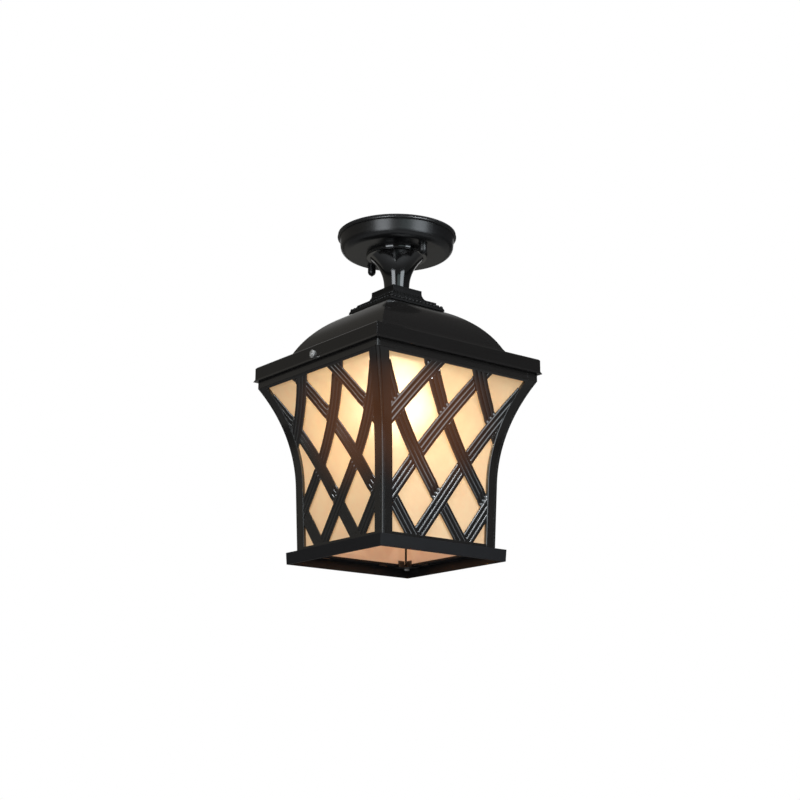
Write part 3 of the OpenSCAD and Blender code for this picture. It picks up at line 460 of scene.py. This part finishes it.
# Each point of the start mesh lies on a moulding's line on the +X side; a bead or a rib goes on it
ornament, ornament_in, ornament_end = geo_group("beads_and_ribs", "Bead Radius", "Rib Radius",
                                                "Hollow Radius")
trim_points = ornament_in["Geometry"]
is_bead = shape(ornament, "InputNamedAttribute", {"Name": "is_bead"}, data_type="BOOLEAN")
bead = shape(ornament, "MeshIcoSphere", {"Radius": ornament_in["Bead Radius"], "Subdivisions": 3})
beads = shape(ornament, "InstanceOnPoints", {"Points": trim_points, "Selection": is_bead, "Instance": bead})
rib_arc = shape(ornament, "CurveArc", {"Resolution": 12, "Radius": ornament_in["Hollow Radius"],
                "Start Angle": RIB_START, "Sweep Angle": RIB_SWEEP}, mode="RADIUS")
rib_upright = shape(ornament, "Transform", {"Geometry": rib_arc, "Rotation": (math.pi / 2, 0.0, 0.0)})
# A rib is thickest in the middle and thins towards its ends, along part of a sine wave
along = put_node(ornament, "GeometryNodeSplineParameter").outputs["Factor"]
taper_angle = calc(ornament, "MULTIPLY_ADD", along, TAPER_TURN, TAPER_START)
rib_taper = calc(ornament, "POWER", calc(ornament, "SINE", taper_angle), TAPER_POWER)
rib_tapered = shape(ornament, "SetCurveRadius", {"Curve": rib_upright, "Radius": rib_taper})
rib_round = shape(ornament, "CurvePrimitiveCircle", {"Resolution": 12, "Radius": ornament_in["Rib Radius"]})
rib = shape(ornament, "CurveToMesh", {"Curve": rib_tapered, "Profile Curve": rib_round, "Fill Caps": True})
is_rib = put_node(ornament, "FunctionNodeBooleanMath", {0: is_bead}, operation="NOT").outputs[0]
ribs = shape(ornament, "InstanceOnPoints", {"Points": trim_points, "Selection": is_rib, "Instance": rib})
trim = ornament.nodes.new("GeometryNodeJoinGeometry")
ornament.links.new(beads, trim.inputs[0])
ornament.links.new(ribs, trim.inputs[0])
end_tree(ornament, four_sides(ornament, trim.outputs[0]), ornament_in["Material"], ornament_end)

# The first bead of a side sits on its corner, and the last stops short of the next side's first
bead_x = OVOLO_X + OVOLO_R * math.cos(BEAD_AT) - BEAD_SINK
bead_z = OVOLO_Z + OVOLO_R * math.sin(BEAD_AT) - BEAD_SINK
bead_points = [(bead_x, BEAD_PITCH * step, bead_z) for step in range(-7, 7)]
rib_points = [(PLINTH_HALF + CAVETTO_R, RIB_PITCH * step, CAVETTO_Z) for step in range(-4, 5)]
trim_start = bpy.data.meshes.new("pedestal_trim")
trim_start.from_pydata(bead_points + rib_points, [], [])
trim_start.attributes.new("is_bead", "BOOLEAN", "POINT").data.foreach_set(
    "value", [True] * len(bead_points) + [False] * len(rib_points))
trim_mesh = grow_mesh("pedestal_trim", trim_start, ornament, {
    "Bead Radius": BEAD_R, "Rib Radius": RIB_R, "Hollow Radius": CAVETTO_R, "Material": pedestal_black})
add_piece("pedestal_trim", trim_mesh, "fixture", "black_paint")

# ---- Roof ----
# The roof is one thin aluminium casting: a square dome with a flat top, a shelf and an upright
# skirt that covers the cage's head. A steel screw on two sides goes through it to its nut inside.
roof_black = black_paint("satin_black_roof", (0.0105, 0.0096, 0.0090), sheen=0.07, edge=0.0004,
                         peel_depth=0.12, dust_share=0.05)
dress(roof_black, "roof")
stainless = plated_metal("stainless", (0.97, 0.96, 0.94), (0.88, 0.88, 0.87), gloss=0.42, grain=700.0)
dress(stainless, "roof_screw_front", "roof_screw_back", "roof_nut_front", "roof_nut_back", "panel_screws",
      "clip_screws")

# ---- Lampholder ----
# A glazed ceramic body under a drawn brass cap, screwed to the lower end of the tube. Inside are
# a threaded brass shell, a centre contact and two terminal screws.
GLAZE_PALE, GLAZE_DARK = (0.86, 0.83, 0.76, 1), (0.78, 0.74, 0.66, 1)
ceramic, ceramic_tree, ceramic_shader, ceramic_place = new_material("glazed_ceramic")
glaze_tone = noise(ceramic_tree, ceramic_place, scale=160.0, detail=4.0, roughness=0.6)
feed(ceramic_tree, ceramic_shader, {
    "Base Color": blend_colours(ceramic_tree, glaze_tone, GLAZE_PALE, GLAZE_DARK), "Roughness": 0.18,
    "Normal": bump(ceramic_tree, noise(ceramic_tree, ceramic_place, scale=700.0),
                   strength=0.15, distance=0.0001)})
dress(ceramic, "lampholder")
brass = plated_metal("drawn_brass", (0.80, 0.62, 0.28), (0.62, 0.46, 0.20), gloss=0.22, grain=1100.0)
dress(brass, "holder_cap", "screw_shell", "centre_contact", "terminal_screws")

# ---- Lamp ----
# A round frosted lamp with a rolled screw cap, black glass insulation and a soldered tip. It is
# lit, so the glass shines warm white, a little dimmer towards its neck.
cap_metal = plated_metal("lamp_cap_metal", (0.72, 0.72, 0.72), (0.55, 0.55, 0.56), gloss=0.2, grain=1200.0)
dress(cap_metal, "lamp_cap")
solder = plated_metal("lamp_solder", (0.55, 0.54, 0.52), (0.40, 0.39, 0.38), gloss=0.35, grain=1500.0)
dress(solder, "lamp_contact")
INSULATION_DARK, INSULATION_PALE = (0.006, 0.006, 0.008, 1), (0.02, 0.02, 0.024, 1)
insulation, insulation_tree, insulation_shader, insulation_place = new_material("cap_insulation")
insulation_tone = blend_colours(insulation_tree, noise(insulation_tree, insulation_place, scale=300.0),
                                INSULATION_DARK, INSULATION_PALE)
feed(insulation_tree, insulation_shader, {"Base Color": insulation_tone, "Roughness": 0.15})
dress(insulation, "lamp_insulator")
LAMP_CENTRE_Z = -0.1748
NECK, BODY, NECK_SHARE = LAMP_CENTRE_Z + 0.045, LAMP_CENTRE_Z + 0.01, 0.25
FROST_DULL, FROST_CLEAR = (0.92, 0.88, 0.80, 1), (1.0, 0.97, 0.9, 1)
NECK_LIGHT, BODY_LIGHT, LIGHT_IN_GLASS = (0.9, 0.45, 0.14, 1), (1.0, 0.80, 0.50, 1), (1.0, 0.94, 0.88, 1)
# Seen through the panes, the lamp is brighter, so that a white spot shows in them
LAMP_POWER, POWER_IN_GLASS = 2.0, 36.0
lit_glass, lit_tree, lit_shader, lit_place = new_material("lit_frosted_glass")
lit_height = put_node(lit_tree, "ShaderNodeSeparateXYZ", {0: lit_place}).outputs["Z"]
lit_share = span(lit_tree, lit_height, NECK, BODY, NECK_SHARE, 1.0)
lit_colour = blend_colours(lit_tree, lit_share, NECK_LIGHT, BODY_LIGHT)
in_glass = put_node(lit_tree, "ShaderNodeLightPath").outputs["Is Transmission Ray"]
frost = noise(lit_tree, lit_place, scale=900.0)
feed(lit_tree, lit_shader, {
    "Base Color": blend_colours(lit_tree, frost, FROST_DULL, FROST_CLEAR), "Roughness": 0.45,
    "Normal": bump(lit_tree, frost, strength=0.3, distance=0.0001),
    "Emission Color": blend_colours(lit_tree, in_glass, lit_colour, LIGHT_IN_GLASS),
    "Emission Strength": calc(lit_tree, "MULTIPLY_ADD", in_glass, POWER_IN_GLASS, LAMP_POWER)})
dress(lit_glass, "lamp_bulb")

# ---- Lattice panels ----
# Each side of the cage is one aluminium casting: two mitred posts, two rails, and reeded bars
# that seem to be woven over and under each other. All follow the cage's outward flare.
SKIRT_Z, BASE_Z, HEAD_Z, BAND_Z = -0.1475, -0.3166, -0.137, -0.1547
FOOT_HALF, HEAD_HALF, STRAIGHT_H, LEAN = 0.0667, 0.0966, 0.0626, math.radians(1.7)
POST_W, PANEL_T, MITRE, BOTTOM_RAIL, TOP_RAIL = 0.0116, 0.003, 0.00007, 0.0043, 0.0097
FIELD_LOW, FIELD_HIGH = BASE_Z + BOTTOM_RAIL, SKIRT_Z - TOP_RAIL
# The face leans out straight from the foot, flares in an arc up to the head's crease, then stands upright
TURN_Z, TURN_HALF = BASE_Z + STRAIGHT_H, FOOT_HALF + STRAIGHT_H * math.tan(LEAN)
flare_w, flare_h = HEAD_HALF - TURN_HALF, BAND_Z - TURN_Z
FLARE_R = (flare_w ** 2 + flare_h ** 2) / (2 * (flare_w * math.cos(LEAN) - flare_h * math.sin(LEAN)))
FLARE_X, FLARE_Z = TURN_HALF + FLARE_R * math.cos(LEAN), TURN_Z - FLARE_R * math.sin(LEAN)


def cage_wall(z, depth=0.0):
    """The place depth behind the face at height z, as its distance from the axis and its height."""
    if abs(z - BAND_Z) < 1e-7:
        half_turn = math.asin((BAND_Z - FLARE_Z) / FLARE_R) / 2
        return HEAD_HALF - depth, z + depth * math.tan(half_turn)
    if z > BAND_Z:
        return HEAD_HALF - depth, z
    rise = max(z, TURN_Z) - FLARE_Z
    run = math.sqrt(FLARE_R ** 2 - rise ** 2)
    x = FLARE_X - run + min(z - TURN_Z, 0.0) * math.tan(LEAN)
    return x - depth * run / FLARE_R, z + depth * rise / FLARE_R


def post_edge(z):
    """Half the width between the posts at height z."""
    rise = min(max(z, TURN_Z), BAND_Z) - FLARE_Z
    run = math.sqrt((FLARE_R + POST_W) ** 2 - rise ** 2)
    lean_part = min(z - TURN_Z, 0.0) * math.tan(LEAN)
    return min(FLARE_X - run + lean_part, HEAD_HALF - POST_W)


def sweep_ring(points, faces, rings):
    """Adds a closed tube through rings of points, with a face over each end."""
    first, count = len(points), len(rings[0])
    for ring in rings:
        points.extend(ring)
    for row in range(len(rings) - 1):
        for k in range(count):
            a, b = first + row * count + k, first + row * count + (k + 1) % count
            faces.append((a, b, b + count, a + count))
    last = first + (len(rings) - 1) * count
    faces.append(tuple(reversed(range(first, first + count))))
    faces.append(tuple(range(last, last + count)))


# Outlines, each point as its distance from the opening or from the cage's corner, and its depth
POST_ROUND = ((0.0, PANEL_T), (0.0, 0.0006), (0.00018, 0.00018), (0.0006, 0.0), (0.0010, 0.0))
POST_GROOVE = ((0.0033, 0.0), (0.0029, 0.0), (0.0027, 0.0006), (0.0023, 0.0006), (0.0021, 0.00008))
CORNER_R, CORNER_TURNS = 0.0009, tuple(math.radians(a) for a in (-15, 0, 15, 30, 45))
RAIL_FRONT, RAIL_BACK = 0.00006, PANEL_T - 0.00006
RAIL_ROUND = ((0.0, RAIL_BACK), (0.0, 0.0007), (0.0002, 0.00024), (0.0007, RAIL_FRONT), (0.0011, RAIL_FRONT))
CREASE_LOW, CREASE_HIGH = BAND_Z - 0.0008, BAND_Z + 0.0006


def post_ring(z, side):
    """A post's outline at height z: a rounded inner edge, a flat face, a groove and a rounded corner."""
    inner, outer = post_edge(z), cage_wall(z)[0]
    ring = [(inner + off, depth) for off, depth in POST_ROUND]
    ring += [(outer - off, depth) for off, depth in POST_GROOVE]
    ring += [(outer - CORNER_R + CORNER_R * math.sin(a), CORNER_R - CORNER_R * math.cos(a))
             for a in CORNER_TURNS]
    ring.append((cage_wall(z, PANEL_T)[0], PANEL_T))
    placed = []
    for u, depth in ring:
        x, height = cage_wall(z, depth)
        placed.append((x, side * (min(u, x) - MITRE), height))
    return placed if side < 0 else placed[::-1]


def rail_ring(u, edge, far, towards):
    """A rail's outline at u: a rounded inner edge, then the face, with the head's crease on the top rail."""
    line = [(edge + towards * off, depth) for off, depth in RAIL_ROUND]
    if towards > 0:
        line += [(z, RAIL_FRONT) for z in (CREASE_LOW, BAND_Z, CREASE_HIGH, SKIRT_Z, far)]
        line += [(far, RAIL_BACK), (BAND_Z, RAIL_BACK)]
    else:
        line += [(far, RAIL_FRONT), (far, RAIL_BACK)]
    placed = []
    for z, depth in line:
        x, height = cage_wall(z, depth)
        placed.append((x, u, height))
    return placed if towards > 0 else placed[::-1]


# One tree gives a flat line its section: reeds side by side on the face, and a flat back
weave, weave_in, weave_end = geo_group("reeded_bar", "Bar Width", "Bar Depth", "Reed Height", "Reeds",
                                       "Reed Steps")
lines = shape(weave, "MeshToCurve", {"Mesh": weave_in["Geometry"]})
upright_lines = shape(weave, "SetCurveNormal", {"Curve": lines}, mode="Z_UP")
point_total = product(weave, weave_in["Reeds"], weave_in["Reed Steps"])
outline = shape(weave, "CurvePrimitiveCircle",
                {"Resolution": calc(weave, "ADD", point_total, 3.0), "Radius": 1.0})
number = put_node(weave, "GeometryNodeInputIndex").outputs[0]
reed_at = calc(weave, "DIVIDE", calc(weave, "MINIMUM", number, point_total), weave_in["Reed Steps"])
reed_turn = product(weave, calc(weave, "FRACT", reed_at), math.pi)
reed_share = calc(weave, "MULTIPLY_ADD", calc(weave, "COSINE", reed_turn), -0.5, 0.5)
reed_place = calc(weave, "ADD", calc(weave, "FLOOR", reed_at), reed_share)
reed_x = calc(weave, "DIVIDE", reed_place, weave_in["Reeds"])
reed_y = product(weave, calc(weave, "SUBTRACT", calc(weave, "SINE", reed_turn), 1.0), weave_in["Reed Height"])
on_back = calc(weave, "GREATER_THAN", number, calc(weave, "ADD", point_total, 0.5))
last_point = calc(weave, "GREATER_THAN", number, calc(weave, "ADD", point_total, 1.5))
share_x = calc(weave, "SUBTRACT", calc(weave, "SUBTRACT", reed_x, last_point), 0.5)
back_y = product(weave, on_back, calc(weave, "SUBTRACT", weave_in["Reed Height"], weave_in["Bar Depth"]))
outline_place = put_node(weave, "ShaderNodeCombineXYZ", {
    "X": product(weave, share_x, product(weave, weave_in["Bar Width"], -1.0)),
    "Y": product(weave, calc(weave, "ADD", reed_y, back_y), -1.0)}).outputs[0]
outline_set = shape(weave, "SetPosition", {"Geometry": outline, "Position": outline_place})
reeded = shape(weave, "CurveToMesh", {"Curve": upright_lines, "Profile Curve": outline_set,
               "Fill Caps": True})
end_tree(weave, reeded, weave_in["Material"], weave_end)

# The bars cross at every half cell. A bar that passes under is sunk there: a rising bar comes up
# again below the crossing, and a falling bar has a short hollow above it
CELL_W, CELL_H, BAR_W, ROW_Z = 0.0574, 0.0772, 0.0136, -0.201
BAR_LINES = (-CELL_W, 0.0, CELL_W, 2 * CELL_W)
BAR_SLOPE = CELL_W / CELL_H
RISE = math.atan(1 / BAR_SLOPE)
BAR_TOP, BAR_DEPTH, BAR_DIP, REED_H, REEDS, REED_STEPS = 0.0005, 0.0016, 0.00095, 0.0009, 3.0, 9.0
DIP_INSET, DIP_RAMP, HOLLOW_NEAR, HOLLOW_FAR, HOLLOW_FADE = 0.0002, 0.0019, 0.0003, 0.0075, 0.0050
BAR_STEP, BAR_SPARE, UNDER_POST, UNDER_RAIL = 0.0008, 0.016, 0.006, 0.002
# The opening is searched at this many heights to the metre for where a bar enters and leaves it
SCAN, NEAR_POST, TILT_STEP = 10000, 0.0005, 0.001


def clamped_share(value, low, high):
    """How far a value is on its way from low to high, from 0 to 1."""
    return min(max((value - low) / (high - low), 0.0), 1.0)


def bar_dip(lean_way, start_u, u, z):
    """How much deeper a bar lies at a point, because the other bar passes over it close by."""
    row = round((z - ROW_Z) / (CELL_H / 2))
    row_z = ROW_Z + row * CELL_H / 2
    crossing_u = lean_way * (start_u + (row_z - ROW_Z) * BAR_SLOPE)
    rising_bar_over = row % 2 == 0 or (row == 1 and crossing_u < 0)
    if rising_bar_over == (lean_way > 0):
        return 0.0
    off = lean_way * (u - crossing_u) * math.sin(RISE) + (z - row_z) * math.cos(RISE)
    edge = BAR_W / 2
    if abs(off) < edge - DIP_INSET:
        return BAR_DIP
    if lean_way > 0 and off < 0:
        return BAR_DIP * clamped_share(off, -edge - DIP_RAMP, -edge)
    if lean_way < 0 and off > 0:
        near, far = edge + HOLLOW_NEAR, edge + HOLLOW_FAR
        sinking = clamped_share(off, near, near + DIP_RAMP)
        return BAR_DIP * sinking * clamped_share(off, far, far - HOLLOW_FADE)
    return 0.0


def cut_bar(bar, edges):
    """Cuts a flat bar along edges, each a point and the way off the part, and closes the cuts."""
    for point, off in edges:
        everything = bar.verts[:] + bar.edges[:] + bar.faces[:]
        cut = bmesh.ops.bisect_plane(bar, geom=everything, plane_co=point, plane_no=off, clear_outer=True)
        rim = [g for g in cut["geom_cut"] if isinstance(g, bmesh.types.BMEdge)]
        if rim:
            bmesh.ops.holes_fill(bar, edges=rim, sides=0)


def add_bar(points, faces, lean_way, start_u, material):
    """Adds one bar, grown flat, cut under the posts and rails, and bent to the cage's wall."""
    def line_u(z):
        return start_u + (z - ROW_Z) * BAR_SLOPE

    levels = [FIELD_LOW + step / SCAN for step in range(int((FIELD_HIGH - FIELD_LOW) * SCAN))]
    inside = [z for z in levels if abs(line_u(z)) < post_edge(z)]
    low = inside[0] - BAR_SPARE
    steps = int((inside[-1] + BAR_SPARE - low) / BAR_STEP)
    line = [(lean_way * line_u(low + BAR_STEP * k), low + BAR_STEP * k, -BAR_TOP) for k in range(steps + 1)]
    start = bpy.data.meshes.new("bar_line")
    start.from_pydata(line, [(k, k + 1) for k in range(steps)], [])
    flat_bar = grow_mesh("bar_line", start, weave, {
        "Bar Width": BAR_W, "Bar Depth": BAR_DEPTH, "Reed Height": REED_H, "Reeds": REEDS,
        "Reed Steps": REED_STEPS, "Material": material})
    edges = [((0.0, FIELD_HIGH + UNDER_RAIL, 0.0), (0.0, 1.0, 0.0)),
             ((0.0, FIELD_LOW - UNDER_RAIL, 0.0), (0.0, -1.0, 0.0))]
    for z in (inside[0], inside[-1]):
        u = line_u(z)
        if abs(u) > post_edge(z) - NEAR_POST:
            tilt = (post_edge(z + TILT_STEP) - post_edge(z - TILT_STEP)) / (2 * TILT_STEP)
            cut_u = lean_way * math.copysign(abs(u) + UNDER_POST, u)
            edges.append(((cut_u, z, 0.0), (lean_way * math.copysign(1.0, u), -tilt, 0.0)))
    bar = bmesh.new()
    bar.from_mesh(flat_bar)
    cut_bar(bar, edges)
    bar.verts.index_update()
    first = len(points)
    for v in bar.verts:
        x, height = cage_wall(v.co.y, -v.co.z + bar_dip(lean_way, start_u, v.co.x, v.co.y))
        points.append((x, v.co.x, height))
    faces += [tuple(first + v.index for v in face.verts) for face in bar.faces]
    bar.free()


# The feet go through the base's ledge: a flat riveted head and a shank, as bottom and top from the
# foot, extra half width, and front and back from the face
TAB_U, TAB_W = 0.034, 0.008
TAB_PARTS = ((-0.0028, -0.0018, 0.0005, 0.0001, 0.0031), (-0.0019, 0.001, 0.0, 0.0005, 0.0027))
SLOT_HALF, SLOT_Z, SLOT_LAP, WALL_INSET = 0.00225, -0.14345, 0.001, 0.0001
STRAIGHT_STEPS, FLARE_STEPS, SHARP_ANGLE = 4, 28, math.radians(34)
post_levels = [BASE_Z + STRAIGHT_H * k / STRAIGHT_STEPS for k in range(STRAIGHT_STEPS)]
post_levels += [TURN_Z + (BAND_Z - TURN_Z) * k / FLARE_STEPS for k in range(FLARE_STEPS)]
post_levels += [CREASE_LOW, BAND_Z, CREASE_HIGH, SKIRT_Z, HEAD_Z]


def add_frame(points, faces, slotted):
    """Adds a panel's posts, rails, upright head and feet. A slotted head lets the roof's screw pass."""
    for side in (-1, 1):
        sweep_ring(points, faces, [post_ring(z, side) for z in post_levels])
    reach_top, reach_low = post_edge(HEAD_Z) + UNDER_POST, post_edge(BASE_Z) + UNDER_POST
    sweep_ring(points, faces, [rail_ring(u, FIELD_LOW, BASE_Z, -1) for u in (-reach_low, reach_low)])
    sweep_ring(points, faces, [rail_ring(u, FIELD_HIGH, SLOT_Z, 1) for u in (-reach_top, reach_top)])
    front, back, foot = HEAD_HALF - WALL_INSET, HEAD_HALF - (PANEL_T - WALL_INSET), SLOT_Z - SLOT_LAP
    head = ((-reach_top, -SLOT_HALF), (SLOT_HALF, reach_top)) if slotted else ((-reach_top, reach_top),)
    for ends in head:
        sweep_ring(points, faces, [[(back, u, foot), (front, u, foot), (front, u, HEAD_Z), (back, u, HEAD_Z)]
                                   for u in ends])
    for tab_u in (-TAB_U, TAB_U):
        for low, high, grow, near, deep in TAB_PARTS:
            half, front, back = TAB_W / 2 + grow, FOOT_HALF - near, FOOT_HALF - deep
            sweep_ring(points, faces, [[(front, u, BASE_Z + low), (front, u, BASE_Z + high),
                                        (back, u, BASE_Z + high), (back, u, BASE_Z + low)]
                                       for u in (tab_u + half, tab_u - half)])


# The bars close to the lamp, below the head, carry a painted warm glow: emission centred a little
# towards one corner, standing in for the light of the lamp and the lit panes on them
LATTICE_BLACK, UNLIT = (0.014, 0.0128, 0.0118), (0, 0, 0, 1)
PAINTED_GLOW_COLOUR, PAINTED_GLOW_POWER = (1.0, 0.32, 0.08, 1), 0.07
PAINTED_GLOW_CENTRE, WARM_REACH, WARM_TOP = (0.030, -0.023, LAMP_CENTRE_Z - 0.012), (0.105, 0.055), (-0.154, -0.172)


def distance_from(tree, place, point):
    """How far a place is from a point."""
    return put_node(tree, "ShaderNodeVectorMath", {0: place, 1: point}, operation="DISTANCE").outputs["Value"]


lattice_black = black_paint("satin_black_lattice", LATTICE_BLACK, sheen=0.08, edge=0.0001,
                            peel_depth=0.0, dust_share=0.2, ior=1.95)
lattice_tree = lattice_black.node_tree
lattice_place = put_node(lattice_tree, "ShaderNodeTexCoord").outputs["Object"]
lattice_height = put_node(lattice_tree, "ShaderNodeSeparateXYZ", {0: lattice_place}).outputs["Z"]
warm_near = span(lattice_tree, distance_from(lattice_tree, lattice_place, PAINTED_GLOW_CENTRE), *WARM_REACH)
painted_warm_glow = product(lattice_tree, warm_near, span(lattice_tree, lattice_height, *WARM_TOP))
# Painted light: the warm glow is emission on the lattice, not light from the lamp
feed(lattice_tree, lattice_tree.nodes["Principled BSDF"], {
    "Emission Color": blend_colours(lattice_tree, painted_warm_glow, UNLIT, PAINTED_GLOW_COLOUR),
    "Emission Strength": PAINTED_GLOW_POWER})

bar_points, bar_faces = [], []
for lean_way in (1, -1):
    for start_u in BAR_LINES:
        add_bar(bar_points, bar_faces, lean_way, start_u, lattice_black)
for quarter, side_name in enumerate(("right", "back", "left", "front")):
    points, faces = [], []
    add_frame(points, faces, slotted=quarter % 2 == 1)
    first = len(points)
    points += bar_points
    faces += [tuple(first + k for k in face) for face in bar_faces]
    panel_mesh = bpy.data.meshes.new("lattice_" + side_name)
    panel_mesh.from_pydata(points, [], faces)
    panel = bmesh.new()
    panel.from_mesh(panel_mesh)
    bmesh.ops.recalc_face_normals(panel, faces=panel.faces)
    panel.to_mesh(panel_mesh)
    panel.free()
    panel_mesh.transform(Matrix.Rotation(quarter * math.pi / 2, 4, "Z"))
    panel_mesh.polygons.foreach_set("use_smooth", [True] * len(panel_mesh.polygons))
    panel_mesh.set_sharp_from_angle(angle=SHARP_ANGLE)
    panel_mesh.materials.append(lattice_black)
    add_piece("lattice_" + side_name, panel_mesh, "cage", "black_paint", "panel_" + side_name)
frame_black = black_paint("satin_black_frame", (0.006, 0.006, 0.006), sheen=0.16, edge=0.0004)
dress(frame_black, "top_frame")

# ---- Glass ----
# Four panes of slumped glass, frosted and tinted amber in the mass, stand inside the panels and
# follow their flare. A painted glow, as emission, is brightest near the lamp and less on their inner faces.
AMBER_PALE, AMBER_DEEP = (0.80, 0.65, 0.43, 1), (0.76, 0.57, 0.37, 1)
GLOW_FAR, GLOW_NEAR, GLOW_INSIDE = (0.15, 0.105, 0.062, 1), (0.44, 0.31, 0.155, 1), (0.17, 0.105, 0.08, 1)
GLOW_SPOT, GLOW_REACH, GLOW_FADE = (0.025, -0.019, LAMP_CENTRE_Z - 0.015), 0.064, 2.0
PANE_DULL, SEEDS_DULL = 0.38, 0.12
pane, pane_tree, pane_shader, pane_place = new_material("amber_frosted_glass")
# Painted light: the panes' emission fades with distance from a point near the lamp, and is weaker inside
from_lamp = distance_from(pane_tree, pane_place, GLOW_SPOT)
near_lamp = calc(pane_tree, "POWER", calc(pane_tree, "DIVIDE", GLOW_REACH, from_lamp), GLOW_FADE, clamp=True)
mottle = noise(pane_tree, pane_place, scale=55.0, detail=4.0, roughness=0.6)
seeds = noise(pane_tree, pane_place, scale=650.0, detail=3.0, roughness=0.6)
pane_faces = put_node(pane_tree, "ShaderNodeTexCoord").outputs["Normal"]
faces_out = span(pane_tree, dot(pane_tree, pane_faces, pane_place), low=-0.02, high=0.02)
painted_pane_glow = blend_colours(pane_tree, near_lamp, GLOW_FAR, GLOW_NEAR)
feed(pane_tree, pane_shader, {
    "Base Color": blend_colours(pane_tree, span(pane_tree, mottle, low=0.3, high=0.7),
                                AMBER_PALE, AMBER_DEEP),
    "Roughness": calc(pane_tree, "MULTIPLY_ADD", seeds, SEEDS_DULL, PANE_DULL),
    "Normal": bump(pane_tree, seeds, strength=0.2, distance=0.0002),
    "IOR": 1.42, "Transmission Weight": 0.36,
    "Emission Color": blend_colours(pane_tree, faces_out, GLOW_INSIDE, painted_pane_glow), "Emission Strength": 1.0})
dress(pane, "glass_right", "glass_back", "glass_left", "glass_front")

# ---- Base and corner clips ----
# A cast square band carries the panels and the panes on its ledge. A spring-steel clip screwed
# under each corner holds the feet of two panes.
base_black = black_paint("satin_black_base", (0.014, 0.014, 0.0155), sheen=0.34, edge=0.0007,
                         dust_share=0.7, ior=1.38)
dress(base_black, "base_frame")
clip_steel = black_paint("blackened_clip", (0.02, 0.018, 0.016), sheen=0.3, edge=0.0002)
dress(clip_steel, "corner_clip_1", "corner_clip_2", "corner_clip_3", "corner_clip_4")
